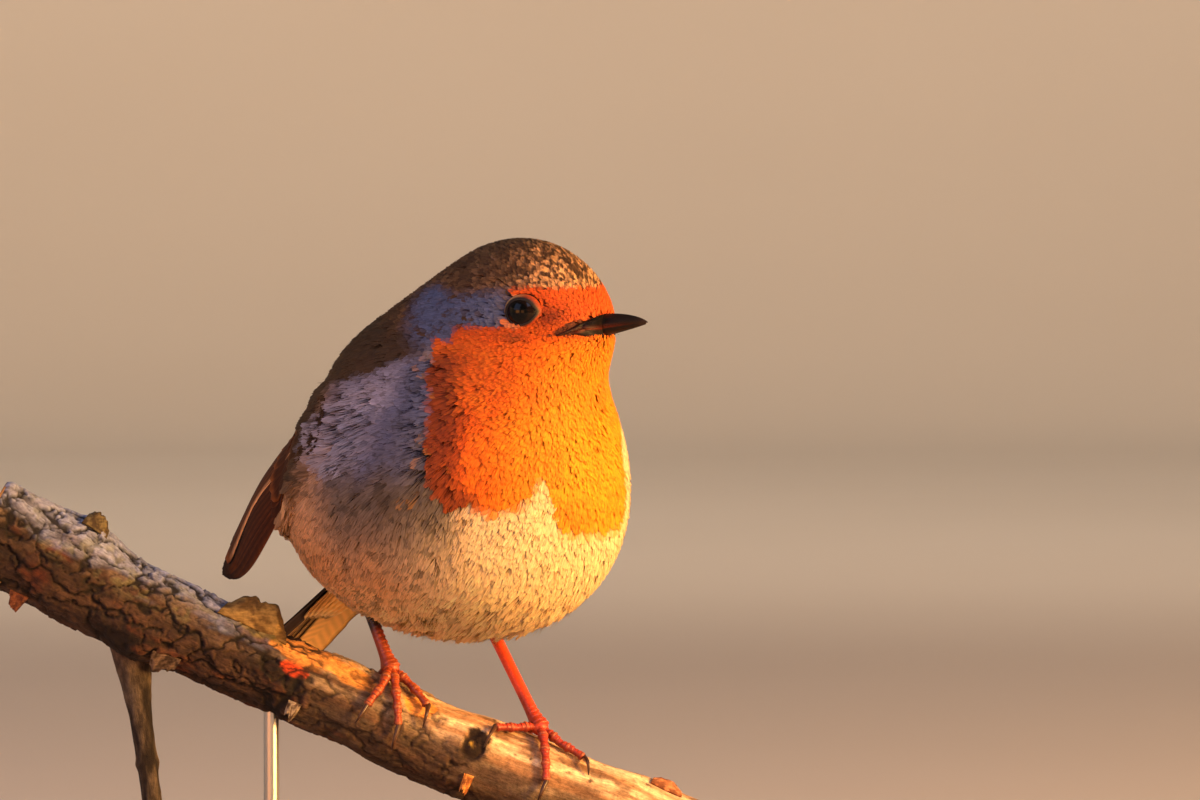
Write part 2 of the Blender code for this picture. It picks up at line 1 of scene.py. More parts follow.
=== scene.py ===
"""Finishes the life-size European robin: plumage, eyes, bill, wings, tail, legs, perch and stand.

Lengths inside the classes are in millimetres and become metres when a mesh is made. The bird's
trunk faces -Y, its left side is +X, and its head is turned to its left.
"""

from __future__ import annotations

import itertools
import logging
import math
from dataclasses import dataclass, field
from enum import Enum
from typing import Callable, Optional, Sequence

import bmesh
import bpy
import numpy as np
from mathutils import Matrix, Vector
from mathutils.kdtree import KDTree

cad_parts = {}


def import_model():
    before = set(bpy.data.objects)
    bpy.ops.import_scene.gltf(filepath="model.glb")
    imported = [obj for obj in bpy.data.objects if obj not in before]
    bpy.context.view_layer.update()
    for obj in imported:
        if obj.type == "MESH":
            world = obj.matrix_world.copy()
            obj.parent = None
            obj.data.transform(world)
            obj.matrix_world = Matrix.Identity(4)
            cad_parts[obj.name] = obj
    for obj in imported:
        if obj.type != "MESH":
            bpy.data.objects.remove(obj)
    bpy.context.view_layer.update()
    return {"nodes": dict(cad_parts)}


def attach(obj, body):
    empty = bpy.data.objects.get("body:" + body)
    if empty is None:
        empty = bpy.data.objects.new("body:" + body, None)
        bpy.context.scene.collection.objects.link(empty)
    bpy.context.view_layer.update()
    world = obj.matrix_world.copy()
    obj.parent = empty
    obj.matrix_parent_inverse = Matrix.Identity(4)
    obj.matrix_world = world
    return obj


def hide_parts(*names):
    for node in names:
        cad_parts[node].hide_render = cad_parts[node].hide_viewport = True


LOG = logging.getLogger("robin")
MM = 0.001
Worker = Callable[[np.ndarray, np.ndarray], tuple]  # shares and angles in, places or radii and facts out


class Side(Enum):
    """The bird's own right and left; the value is the sign of X."""

    RIGHT = -1.0
    LEFT = 1.0


# ---------------------------------------------------------------- small shared tools
def linear(hex_code: str) -> np.ndarray:
    """Turns an sRGB hex code into linear red, green and blue.

    Args:
        hex_code: Six hexadecimal digits.

    Returns:
        Three numbers from 0 to 1.
    """
    channels = np.array([int(hex_code[i : i + 2], 16) for i in (0, 2, 4)]) / 255.0
    return np.where(channels <= 0.04045, channels / 12.92, ((channels + 0.055) / 1.055) ** 2.4)


def rgba(hex_code: str) -> tuple[float, float, float, float]:
    """The same colour with full opacity, for a shader's socket."""
    return (*(float(c) for c in linear(hex_code)), 1.0)


def ramp(low: float, high: float, values: np.ndarray) -> np.ndarray:
    """Rises smoothly from 0 at low to 1 at high; high may be the smaller of the two."""
    share = np.clip((values - low) / (high - low), 0.0, 1.0)
    return share * share * (3.0 - 2.0 * share)


def unit(vectors: np.ndarray) -> np.ndarray:
    """The vectors at length one."""
    return vectors / (np.linalg.norm(vectors, axis=-1, keepdims=True) + 1e-12)


def mixed(first: np.ndarray | str, second: np.ndarray | str, share: np.ndarray) -> np.ndarray:
    """Goes from the first colour, or its hex code, to the second by a share for each point."""
    start, end = (linear(colour) if isinstance(colour, str) else colour for colour in (first, second))
    return start + (end - start) * np.asarray(share)[..., None]


def rail(stations: Sequence[Sequence[float]], shares: np.ndarray) -> np.ndarray:
    """Points on the smooth (Catmull-Rom) curve through the stations.

    Args:
        stations: The curve's own points.
        shares: Places along it, from 0 to 1.

    Returns:
        One point for each share.
    """
    knots = np.asarray(stations, dtype=float)
    ends = (2.0 * knots[:1] - knots[1:2], knots, 2.0 * knots[-1:] - knots[-2:-1])
    padded = np.vstack(ends)
    scaled = np.clip(shares, 0.0, 1.0) * (len(knots) - 1)
    index = np.minimum(scaled.astype(int), len(knots) - 2)
    t = (scaled - index)[:, None]
    p0, p1, p2, p3 = (padded[index + i] for i in range(4))
    cubic = (3.0 * p1 - p0 - 3.0 * p2 + p3) * t**3
    return 0.5 * (2.0 * p1 + (p2 - p0) * t + (2.0 * p0 - 5.0 * p1 + 4.0 * p2 - p3) * t**2 + cubic)


@dataclass(frozen=True)
class Grain:
    """Smooth random unevenness that is the same on every run."""

    seed: int = 7

    def table(self) -> np.ndarray:
        """A shuffled table that turns a lattice corner into a number."""
        return np.random.default_rng(self.seed).permutation(256)

    def value(self, points: np.ndarray, size: float | Sequence[float]) -> np.ndarray:
        """Unevenness from -1 to 1.

        Args:
            points: Places in any number of rows of three.
            size: How far apart the swellings are, one number or three.

        Returns:
            One number for each place.
        """
        table = self.table()
        scaled = points / np.asarray(size, dtype=float)
        corner = np.floor(scaled).astype(np.int64)
        part = scaled - corner
        part = part * part * (3.0 - 2.0 * part)
        total = np.zeros(points.shape[:-1])
        for bits in range(8):
            step = np.array([bits & 1, bits >> 1 & 1, bits >> 2 & 1])
            at = (corner + step) & 255
            number = table[(table[(table[at[..., 0]] + at[..., 1]) & 255] + at[..., 2]) & 255]
            weight = np.prod(np.where(step, part, 1.0 - part), axis=-1)
            total += weight * number
        return total / 127.5 - 1.0

    def layers(self, points: np.ndarray, size: float | Sequence[float], count: int) -> np.ndarray:
        """Several sizes of unevenness at once, each half the size and strength of the last.

        Args:
            points: Places in millimetres, one a row.
            size: The largest size in millimetres, or one for each axis.
            count: How many sizes.

        Returns:
            A value for each place, from about -1 to 1.
        """
        sizes = [np.asarray(size, dtype=float) / 2.0**i for i in range(count)]
        values = [Grain(self.seed + i).value(points, s) * 0.5**i for i, s in enumerate(sizes)]
        return sum(values) / (2.0 - 0.5 ** (count - 1))

    def cells(self, points: np.ndarray, size: float | Sequence[float]) -> tuple[np.ndarray, np.ndarray]:
        """Uneven cells, like the plates of dry mud.

        Args:
            points: Places, three to a row.
            size: How wide a cell is, one number or three.

        Returns:
            How far each point is from its cell's edge in cell widths, and the cell's own number from 0 to 1.
        """
        table = self.table()
        scaled = points / np.asarray(size, dtype=float)
        corner = np.floor(scaled).astype(np.int64)
        first, second = np.full(len(points), 9.0), np.full(len(points), 9.0)
        number = np.zeros(len(points))
        for step in itertools.product((-1, 0, 1), repeat=3):
            at = (corner + step) & 255
            mark = table[(table[(table[at[:, 0]] + at[:, 1]) & 255] + at[:, 2]) & 255]
            seed = np.stack([table[(mark + 40 * k) & 255] for k in (1, 2, 3)], axis=1) / 255.0
            away = np.linalg.norm(corner + step + seed - scaled, axis=1)
            second = np.minimum(second, np.maximum(first, away))
            number = np.where(away < first, mark / 255.0, number)
            first = np.minimum(first, away)
        return second - first, number


@dataclass
class Template:
    """A small shape that is repeated: its corners and its triangles."""

    corners: np.ndarray
    triangles: np.ndarray

    @classmethod
    def taken_from(cls, bm: bmesh.types.BMesh) -> Template:
        """Reads a bmesh into a template and frees it.

        Args:
            bm: The shape, closed and facing outwards.

        Returns:
            The template.
        """
        bmesh.ops.triangulate(bm, faces=bm.faces)
        bm.verts.index_update()
        corners = np.array([vert.co for vert in bm.verts])
        triangles = np.array([[vert.index for vert in face.verts] for face in bm.faces])
        bm.free()
        # The operators may list the faces in another order on each run, so they are sorted.
        first = triangles.argmin(axis=1)[:, None]
        triangles = np.take_along_axis(triangles, (first + np.arange(3)) % 3, axis=1)
        return cls(corners, triangles[np.lexsort(triangles.T[::-1])])

    def volume(self) -> float:
        """A number that is below zero where the faces point inwards.

        Returns:
            Six times the volume of a closed shape, with that sign.
        """
        apart = self.corners[self.triangles]
        normal = np.cross(apart[:, 1] - apart[:, 0], apart[:, 2] - apart[:, 0])
        return np.sum(normal * apart.mean(axis=1)) - np.sum(normal.sum(axis=0) * self.corners.mean(axis=0))

    @classmethod
    def joined(cls, parts: Sequence[Template]) -> Template:
        """Several templates as one.

        Args:
            parts: The templates.

        Returns:
            The template that holds them all.
        """
        starts = np.cumsum([0] + [len(part.corners) for part in parts])
        triangles = [part.triangles + start for part, start in zip(parts, starts)]
        return cls(np.vstack([part.corners for part in parts]), np.vstack(triangles))


def mesh_of(
    name: str, places: np.ndarray, triangles: np.ndarray, normals: Optional[np.ndarray] = None
) -> bpy.types.Mesh:
    """Writes an array of corners and triangles into a mesh, millimetres to metres.

    Args:
        name: The mesh's name.
        places: Corners, one row each.
        triangles: Three corner numbers a row.
        normals: The way each corner faces in the light, where it isn't the shape's own.

    Returns:
        The smooth-shaded mesh.
    """
    mesh = bpy.data.meshes.new(name)
    mesh.vertices.add(len(places))
    mesh.vertices.foreach_set("co", (places * MM).astype(np.float32).ravel())
    mesh.loops.add(triangles.size)
    mesh.loops.foreach_set("vertex_index", triangles.astype(np.int32).ravel())
    mesh.polygons.add(len(triangles))
    mesh.polygons.foreach_set("loop_start", np.arange(0, triangles.size, 3, dtype=np.int32))
    mesh.update(calc_edges=True)
    mesh.shade_smooth()
    if normals is not None:
        mesh.normals_split_custom_set_from_vertices(normals.astype(np.float32))
    return mesh


def paint(mesh: bpy.types.Mesh, colours: np.ndarray, name: str = "Tone") -> None:
    """Stores a colour at each corner of the mesh, as linear numbers.

    Args:
        mesh: The mesh that takes it.
        colours: A colour for each vertex, one a row.
        name: The layer's name.
    """
    layer = mesh.color_attributes.new(name, "FLOAT_COLOR", "POINT")
    full = np.ones((len(mesh.vertices), 4), np.float32)
    full[:, :3] = np.clip(colours.reshape(-1, 3), 0.0, 1.0)
    layer.data.foreach_set("color", full.ravel())


def unwrap(mesh: bpy.types.Mesh, name: str, places: np.ndarray) -> None:
    """Gives the mesh a UV map, from a place for each vertex or for each corner of each face.

    Args:
        mesh: The mesh that takes it.
        name: The map's name.
        places: The places on the map.
    """
    layer = mesh.uv_layers.new(name=name)
    flat = places.reshape(-1, 2)
    if len(flat) != len(mesh.loops):
        index = np.empty(len(mesh.loops), np.int32)
        mesh.loops.foreach_get("vertex_index", index)
        flat = flat[index]
    layer.uv.foreach_set("vector", flat.astype(np.float32).ravel())


def finished(
    name: str, shape: Template, tones: Optional[np.ndarray] = None, **maps: np.ndarray
) -> bpy.types.Mesh:
    """A template as a mesh, with its colours and its named maps.

    Args:
        name: The mesh's name.
        shape: The template.
        tones: A colour for each vertex, if it has its own.
        maps: The places on each map, by the map's name.

    Returns:
        The finished mesh.
    """
    mesh = mesh_of(name, shape.corners, shape.triangles)
    if tones is not None:
        paint(mesh, tones)
    for title, places in maps.items():
        unwrap(mesh, title, places)
    return mesh


def sheet(long: int, wide: int) -> Template:
    """A flat slab of small faces, from -0.5 to 0.5 along and across, and one unit thick.

    Args:
        long: Faces along.
        wide: Faces across.

    Returns:
        The grid.
    """
    bm = bmesh.new()
    bmesh.ops.create_grid(bm, x_segments=long, y_segments=wide, size=0.5)
    bmesh.ops.solidify(bm, geom=bm.faces[:], thickness=-1.0)
    bmesh.ops.recalc_face_normals(bm, faces=bm.faces)
    return Template.taken_from(bm)


def bent_rod(place: Worker, sides: int, rings: int) -> tuple[Template, tuple[np.ndarray, ...]]:
    """Bends a cylinder into shape.

    Args:
        place: From the corners' shares of the length and their angles, gives their places and the
            facts that their colours need.
        sides: Corners round it.
        rings: Steps along it.

    Returns:
        The closed shape and the facts.
    """
    bm = bmesh.new()
    bmesh.ops.create_cone(bm, cap_ends=True, segments=sides, radius1=1.0, radius2=1.0, depth=1.0)
    long_edges = [e for e in bm.edges if abs(e.verts[0].co.z - e.verts[1].co.z) > 0.5]
    bmesh.ops.subdivide_edges(bm, edges=long_edges, cuts=rings - 1)
    flat = np.array([vert.co for vert in bm.verts])
    places, facts = place(flat[:, 2] + 0.5, np.arctan2(flat[:, 1], flat[:, 0]))
    for vert, point in zip(bm.verts, places):
        vert.co = point
    bmesh.ops.recalc_face_normals(bm, faces=bm.faces)
    if bm.calc_volume(signed=True) < 0.0:
        bmesh.ops.reverse_faces(bm, faces=bm.faces)
    return Template.taken_from(bm), facts


def tube(
    stations: Sequence[np.ndarray], size: Worker, sides: int, rings: int,
    top: Sequence[float] = (0.0, 0.0, 1.0),
) -> tuple[Template, tuple[np.ndarray, ...]]:
    """A round shape along a smooth route.

    Args:
        stations: The route's own points.
        size: From the share along and the angle from the side toward the top, gives the radius and
            the facts.
        sides: Corners round it.
        rings: Steps along it.
        top: The direction that the angle's quarter turn points to.

    Returns:
        The closed shape and the facts.
    """

    def place(share: np.ndarray, angle: np.ndarray) -> tuple:
        """Each corner's place round the route.

        Args:
            share: The share along, from 0 to 1.
            angle: The angle round it in radians.

        Returns:
            The corners and the facts.
        """
        step = 0.01
        middle = rail(stations, share)
        ahead = unit(rail(stations, share + step) - rail(stations, share - step))
        across = unit(np.cross(ahead, np.asarray(top, dtype=float)))
        lift = np.cross(across, ahead)
        radius, facts = size(share, angle)
        sideways = across * (np.cos(angle) * radius)[:, None]
        return middle + sideways + lift * (np.sin(angle) * radius)[:, None], facts

    return bent_rod(place, sides, rings)


@dataclass(frozen=True)
class Model:
    """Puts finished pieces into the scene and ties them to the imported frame."""

    body: str = "root"

    def add(
        self, mesh: bpy.types.Mesh, finish: bpy.types.Material, slot: str, replaced: Sequence[str] = ()
    ) -> None:
        """Adds a piece of the model, at the origin.

        Args:
            mesh: Its shape, in place, in metres, with the piece's name.
            finish: Its material.
            slot: The record's slot that the finish stands for; not used.
            replaced: Solids that the piece stands for.
        """
        mesh.materials.append(finish)
        piece = bpy.data.objects.new(mesh.name, mesh)
        bpy.context.scene.collection.objects.link(piece)
        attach(piece, self.body)
        if replaced:
            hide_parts(*replaced)
        LOG.info("%s: %d triangles", piece.name, len(mesh.polygons))


# ---------------------------------------------------------------- the bird's form
@dataclass(frozen=True)
class Form:
    """One egg-shaped form of the body: its middle, its half-sizes and its two turns in degrees."""

    centre: tuple[float, float, float]
    half: tuple[float, float, float]
    yaw: float = 0.0
    pitch: float = 0.0

    def turn(self) -> np.ndarray:
        """The form's turn as a matrix."""
        yaw = Matrix.Rotation(math.radians(self.yaw), 3, "Z")
        return np.array(yaw @ Matrix.Rotation(math.radians(self.pitch), 3, "X"))


@dataclass
class BodyShape:
    """The coat's outer surface, the same blend of egg-shaped forms that the solids have."""

    blend: float = 3.0
    trunk_core: tuple[float, float, float] = (0.0, -4.0, 98.0)
    head_centre: tuple[float, float, float] = (0.0, -19.5, 123.2)
    head_turn: float = 27.0
    head_plane: tuple[float, float, float] = (0.0, -16.0, 117.0)  # where head and neck meet
    head_slant: tuple[float, float, float] = (0.0, -0.42, 1.0)
    eye_forward: float = 5.3
    eye_up: float = 2.3
    eye_radius: float = 3.9
    eye_sink: float = 3.0
    forms: tuple[Form, ...] = field(init=False)

    def __post_init__(self) -> None:
        """Lays out the forms from the belly up to the crown."""
        turned = self.head_turn
        self.forms = (
            Form((0.0, -1.8, 88.0), (28.3, 29.5, 23.3)),  # belly
            Form((0.0, -10.0, 96.0), (25.0, 25.0, 25.0)),  # breast
            Form((0.0, -13.0, 83.5), (20.0, 16.5, 16.0)),  # lower breast
            Form((8.5, 7.0, 89.5), (20.0, 22.5, 19.5)),  # left flank
            Form((-8.5, 7.0, 89.5), (20.0, 22.5, 19.5)),  # right flank
            Form((0.0, 5.0, 110.0), (23.0, 20.5, 15.5), pitch=-35.0),  # mantle
            Form((0.0, 26.0, 84.0), (14.0, 14.0, 10.0), pitch=-45.0),  # rump
            Form((0.0, -10.0, 119.0), (17.0, 16.0, 14.0)),  # neck
            Form(tuple(self.head_point(0.0, 0.0, 1.5)), (12.8, 15.0, 14.0), yaw=turned),  # crown
            Form(tuple(self.head_point(8.0, 0.0, -1.5)), (9.0, 8.0, 8.5), yaw=turned),  # face
            Form(tuple(self.head_point(2.8, 0.0, -12.5)), (13.0, 8.2, 9.5), yaw=turned),  # throat
        )

    def head_axes(self) -> np.ndarray:
        """The head's forward, left and up directions, one a row.

        Returns:
            The three directions.
        """
        turn = math.radians(self.head_turn)
        sine, cosine = math.sin(turn), math.cos(turn)
        return np.array(((sine, -cosine, 0.0), (cosine, sine, 0.0), (0.0, 0.0, 1.0)))

    def head_point(self, forward: float, side: float, up: float) -> np.ndarray:
        """A place in the turned head's own terms; side is to the bird's left."""
        return np.array(self.head_centre) + np.array((forward, side, up)) @ self.head_axes()

    def head_terms(self, points: np.ndarray) -> np.ndarray:
        """Each point as forward, left and up from the head's centre."""
        return (points - np.array(self.head_centre)) @ self.head_axes().T

    def above_head_plane(self, points: np.ndarray) -> np.ndarray:
        """How far each point is above the plane where head and neck meet."""
        return (points - np.array(self.head_plane)) @ unit(np.array(self.head_slant))

    def depth(self, points: np.ndarray) -> np.ndarray:
        """How far each point lies outside the coat's surface; inside is negative.

        Args:
            points: Places in millimetres, one a row.

        Returns:
            Millimetres outside for each place.
        """
        total = np.zeros(len(points))
        for form in self.forms:
            local = (points - np.array(form.centre)) @ form.turn()
            half = np.array(form.half)
            ratio = np.linalg.norm(local / half, axis=1)
            steep = np.linalg.norm(local / half**2, axis=1) + 1e-9
            total += np.exp(-ratio * (ratio - 1.0) / steep / self.blend)
        return -self.blend * np.log(total + 1e-300)

    def slope(self, points: np.ndarray) -> tuple[np.ndarray, np.ndarray]:
        """The depth at each point and the direction in which it grows, not yet at length one.

        Args:
            points: Places in millimetres, one a row.

        Returns:
            The depths and the directions.
        """
        here, step = self.depth(points), 0.02
        moved = [(self.depth(points + axis * step) - here) / step for axis in np.eye(3)]
        return here, np.stack(moved, axis=1)

    def settle(self, points: np.ndarray, wanted: np.ndarray, rounds: int = 2) -> np.ndarray:
        """Moves points straight in or out until they lie at the wanted depth.

        Args:
            points: Places near the surface.
            wanted: The depth for each, outside counted positive.
            rounds: How often the step is repeated.

        Returns:
            The moved points.
        """
        for _ in range(rounds):
            here, growth = self.slope(points)
            steps = (wanted - here) / np.maximum(np.sum(growth**2, axis=1), 1e-6)
            points = points + growth * np.clip(steps, -3.0, 3.0)[:, None]
        return points

    def out_from(self, origins: np.ndarray, ways: np.ndarray) -> np.ndarray:
        """Where rays leave the coat's surface, found by halving.

        Args:
            origins: Where the rays start, inside the surface.
            ways: Their directions, at length one.

        Returns:
            The places where they leave it.
        """
        near, far = np.zeros(len(ways)), np.full(len(ways), 90.0)
        for _ in range(24):
            middle = (near + far) / 2.0
            inside = self.depth(origins + ways * middle[:, None]) < 0.0
            near, far = np.where(inside, middle, near), np.where(inside, far, middle)
        return origins + ways * near[:, None]

    def eye_frame(self, side: Side) -> tuple[np.ndarray, np.ndarray]:
        """An eyeball's centre and the direction in which it looks.

        Args:
            side: Which side of the bird.

        Returns:
            The centre and the direction.
        """
        outward = self.head_axes()[1] * side.value
        start = self.head_point(self.eye_forward, 0.0, self.eye_up)
        surface = self.out_from(start[None], outward[None])[0]
        return surface - outward * self.eye_sink, outward

    def beside_eye(self, points: np.ndarray, side: Side) -> tuple[np.ndarray, np.ndarray]:
        """How each point lies beside the eyeball's centre, and whether it is on the eye's outer side.

        Args:
            points: Places in millimetres, one a row.
            side: Which side of the bird.

        Returns:
            The offsets square to the eye's own direction, and whether each place is on its side.
        """
        centre, outward = self.eye_frame(side)
        local = points - centre
        return local - np.outer(local @ outward, outward), local @ outward > 0.0

    def bill_distance(self, points: np.ndarray) -> np.ndarray:
        """How far each point is from the bill's base; the coat grows longer with it."""
        return np.linalg.norm(points - self.head_point(12.0, 0.0, -0.5), axis=1)

    def azimuth(self, points: np.ndarray) -> np.ndarray:
        """Degrees round the trunk: 0 at the breast's front, growing toward the bird's left."""
        core = np.array(self.trunk_core)
        return np.degrees(np.arctan2(points[:, 0], core[1] - points[:, 1]))


# ---------------------------------------------------------------- markings
@dataclass(frozen=True)
class Markings:
    """Where each colour of a robin's plumage lies, in the bird's own terms."""

    body: BodyShape
    orange: str = "FF6A0C"
    orange_deep: str = "D04408"
    # painted light: the golden orange of the bib's sunlit side
    orange_painted_lit: str = "FFA406"
    border_shade: str = "7A2E0A"  # painted shade along the bib's border on the bird's right
    ash_blue: str = "56648E"
    ash_grey: str = "62564E"
    ash_pale: str = "BEB8D0"
    olive: str = "49341F"
    crown_brown: str = "4C311B"
    rufous_fleck: str = "FFB878"
    flank: str = "DCAA84"
    flank_dark: str = "382C26"
    buff: str = "E09C60"
    cream: str = "FFDCA8"
    cream_warm: str = "FFD090"
    lores: str = "34100A"
    lid_pale: str = "DCA870"
    right_border: tuple[float, float] = (0.766, -0.643)  # the way in from the bib's right border
    left_border: tuple[float, float] = (-0.927, -0.375)  # and from its left one
    painted_sun_way: tuple[float, float, float] = (0.41, -0.91, 0.0)  # the way the painted sunlight comes from: bib feathers facing it are painted golden orange
    notch: tuple[float, float, float] = (-13.5, 5.0, 5.0)  # degrees, half-angle and height
    low_edge: float = 90.3
    grain: Grain = Grain(21)

    def ragged(self, points: np.ndarray, size: float = 3.0) -> np.ndarray:
        """An uneven edge of about a millimetre either way."""
        return self.grain.layers(points, size, 3)

    def inward(self, points: np.ndarray) -> np.ndarray:
        """How far each point is inside the bib's upright border on the bird's right."""
        return points[:, :2] @ np.array(self.right_border) + 3.5 * ramp(90.0, 96.0, points[:, 2])

    def bib(self, points: np.ndarray) -> np.ndarray:
        """The orange breast: two upright sides and a lower edge with a pale notch.

        Args:
            points: Places in millimetres, one a row.

        Returns:
            The breast's share in each place, from 0 to 1.
        """
        edge = self.ragged(points) * 1.6
        azimuth, z = self.body.azimuth(points), points[:, 2]
        right = self.inward(points) + edge
        reach = 2.5 + 9.0 * ramp(100.0, 112.0, z)
        left = points[:, :2] @ np.array(self.left_border) + reach + edge
        notch = self.notch[2] * np.exp(-(((azimuth - self.notch[0]) / self.notch[1]) ** 2))
        lobe = 4.8 * ramp(-11.0, -4.0, azimuth)
        low = z - (self.low_edge + notch - lobe) + edge * 1.1
        forward, side, _ = self.body.head_terms(points).T
        rear = -15.0 + 8.0 * ramp(-3.0, 3.0, side)
        front = np.maximum(ramp(rear - 0.7, rear + 0.7, forward), ramp(107.0, 104.0, z))
        return ramp(-0.4, 0.4, right) * ramp(-0.9, 0.9, left) * ramp(-1.1, 1.1, low) * front

    def face(self, points: np.ndarray) -> np.ndarray:
        """The orange face: forehead, lores and cheeks, back to behind and below the eye.

        Args:
            points: Places in millimetres, one a row.

        Returns:
            The face's share in each place, from 0 to 1.
        """
        forward, _, up = self.body.head_terms(points).T
        edge = self.ragged(points, 1.6) * 0.7
        top = -0.5 + 7.0 * ramp(1.4, 3.6, forward)
        return ramp(-0.5, 0.5, top - up + edge) * ramp(-0.7, 0.7, forward + 7.0 + edge * 1.3)

    def orange_share(self, points: np.ndarray) -> np.ndarray:
        """How orange each point is, from 0 to 1.

        Args:
            points: Places in millimetres, one a row.

        Returns:
            The shares.
        """
        on_head = ramp(-1.5, 1.5, self.body.above_head_plane(points))
        forward, edge = self.body.head_terms(points)[:, 0], self.ragged(points, 1.6)
        shoulder = 120.2 + 2.0 * ramp(-7.6, -6.4, forward) + edge
        throat = ramp(0.5, -0.5, points[:, 2] - shoulder) * self.bib(points)
        return np.clip(np.maximum(self.face(points) * on_head, throat), 0.0, 1.0)

    def colours(self, points: np.ndarray, normals: np.ndarray) -> np.ndarray:
        """The plumage's colour at each point.

        Args:
            points: Places on or near the body.
            normals: The way the body's surface faces there.

        Returns:
            Linear colours, one a row.
        """
        body = self.body
        azimuth = body.azimuth(points)
        side, height = np.abs(azimuth), points[:, 2]
        forward, _, up = body.head_terms(points).T
        head = ramp(-2.0, 3.0, body.above_head_plane(points))
        drift = self.grain.layers(points, 9.0, 3)
        fine = self.grain.layers(points, 2.2, 2)
        speck = self.grain.layers(points, 0.6, 2)

        cream = mixed(self.cream, self.cream_warm, ramp(84.0, 66.0, height + 3.0 * drift))
        rear = ramp(40.0, 84.0, side + drift * 9.0)
        flank = mixed(self.flank, self.buff, ramp(90.0, 72.0, height + 6.0 * drift))
        flank = mixed(flank, self.buff, 0.6 * ramp(90.0, 125.0, side) * ramp(104.0, 88.0, height))
        colour = mixed(cream, flank, rear * ramp(66.0, 78.0, height + 3.0 * fine))

        ash = ramp(34.0, 50.0, side) * ramp(118.0, 96.0, side + drift * 8.0 + 0.5 * (100.0 - height))
        ash = ash * ramp(74.0, 93.0, height + 6.0 * drift) * (1.0 - head)
        blue = mixed(self.ash_grey, self.ash_blue, ramp(92.0, 108.0, height + 8.0 * drift))
        streaks = self.grain.layers(points * np.array((1.0, 1.0, 0.45)), 4.5, 3)
        dusk = ramp(0.0, 0.5, streaks) * ramp(82.0, 92.0, height) * ramp(108.0, 100.0, height)
        dusk = dusk + 0.6 * ramp(56.0, 46.0, side) * ramp(104.0, 98.0, height)
        blue = mixed(blue, self.flank_dark, 0.75 * np.clip(dusk, 0.0, 1.0))
        pale = ramp(62.0, 78.0, side) * ramp(104.0, 110.0, height + 4.0 * fine)
        blue = mixed(blue, self.ash_pale, 0.4 * pale + 0.25 * self.frayed(points))
        colour = mixed(colour, blue, 0.92 * ash)

        limit = np.minimum(112.0, 58.0 + 7.6 * np.maximum(118.6 - height, 0.0))
        back = ramp(-8.0, 8.0, side - limit + 6.0 * drift)
        low = 91.0 - 15.0 * ramp(135.0, 162.0, side)
        back = back * ramp(low - 3.0, low + 4.0, height + 2.5 * drift)
        brown = mixed(self.olive, self.crown_brown, 0.5 * ramp(-0.2, 0.5, fine))
        colour = mixed(colour, brown, back)

        flecks = ramp(-0.3, 0.6, speck + 0.3 * fine) * (0.15 + 0.85 * ramp(0.0, 10.0, forward))
        cap = mixed(self.crown_brown, self.rufous_fleck, flecks)
        top = 7.4 + 3.0 * ramp(-6.0, -13.0, forward)
        band = ramp(top, top - 2.6, up + 1.6 * drift - 0.15 * forward)
        band = band * ramp(-20.0, -13.0, forward + drift * 3.0) * ramp(5.0, 0.5, forward)
        mottled = mixed(self.crown_brown, self.ash_blue, ramp(-0.8, -0.1, speck + 0.5 * fine))
        colour = mixed(colour, mixed(cap, mottled, 0.9 * band), head)

        # Painted light: the bib turns golden orange where its feathers face the painted sun's way, more so
        # lower down, and its deep patches fade there.
        lit = normals @ unit(np.array(self.painted_sun_way))
        painted_sunlight = ramp(0.15, 1.05, lit) * ramp(127.0, 119.0, height) * (0.55 + 0.45 * ramp(118.0, 100.0, height))
        orange = mixed(self.orange, self.orange_painted_lit, np.clip(0.8 * painted_sunlight + 0.16 * fine, 0, 1))
        deep = 0.5 * ramp(0.1, 0.6, self.grain.layers(points, 5.0, 2)) * (1.0 - 0.7 * painted_sunlight)
        orange = mixed(orange, self.orange_deep, np.maximum(deep, 0.7 * ramp(117.0, 123.0, height)))
        # Painted shade: the bib darkens along its border on the bird's right side.
        orange = mixed(orange, self.border_shade, 0.85 * self.border(points))
        colour = mixed(colour, orange, self.orange_share(points))

        # Painted shade: the lores in front of the eye darkened to a shaded copy of the deep orange.
        near = np.exp(-(((forward - 10.8) / 3.0) ** 2) - ((up - 1.4) / 2.2) ** 2)
        colour = mixed(colour, linear(self.orange_deep) * 0.3, 0.95 * near * head)
        under = np.exp(-(((forward - 4.7) / 2.2) ** 2) - ((up + 2.4) / 0.9) ** 2)
        colour = mixed(colour, self.crown_brown, 0.55 * under * head)
        thick = ramp(10.4, 15.6, forward)
        wedge = np.abs(up + 1.85 - 1.25 * thick + 0.25 * fine) / (0.3 + 1.25 * thick)
        wedge = ramp(1.2, 0.8, wedge) * ramp(9.0, 10.6, forward + fine) * head
        colour = mixed(colour, self.lores, 0.92 * wedge)
        return mixed(colour, self.lid_pale, 0.9 * self.eye_ring(points))

    def border(self, points: np.ndarray) -> np.ndarray:
        """The bib's border along the bird's right side, painted dark as shade, from 0 to 1."""
        inward = self.inward(points) + 2.4 * self.ragged(points)
        return ramp(8.5, 3.0, inward) * self.bib(points) * ramp(119.5, 116.0, points[:, 2])

    def frayed(self, points: np.ndarray) -> np.ndarray:
        """Where the long loose side feathers grow that lie over the wing with pale frayed tips.

        Args:
            points: Places in millimetres, one a row.

        Returns:
            Their share in each place, from 0 to 1.
        """
        side, height = np.abs(self.body.azimuth(points)), points[:, 2]
        return ramp(70.0, 80.0, side) * ramp(112.0, 100.0, side) * ramp(96.0, 101.0, height) * ramp(
            113.0, 109.0, height + 0.2 * (side - 90.0)
        )

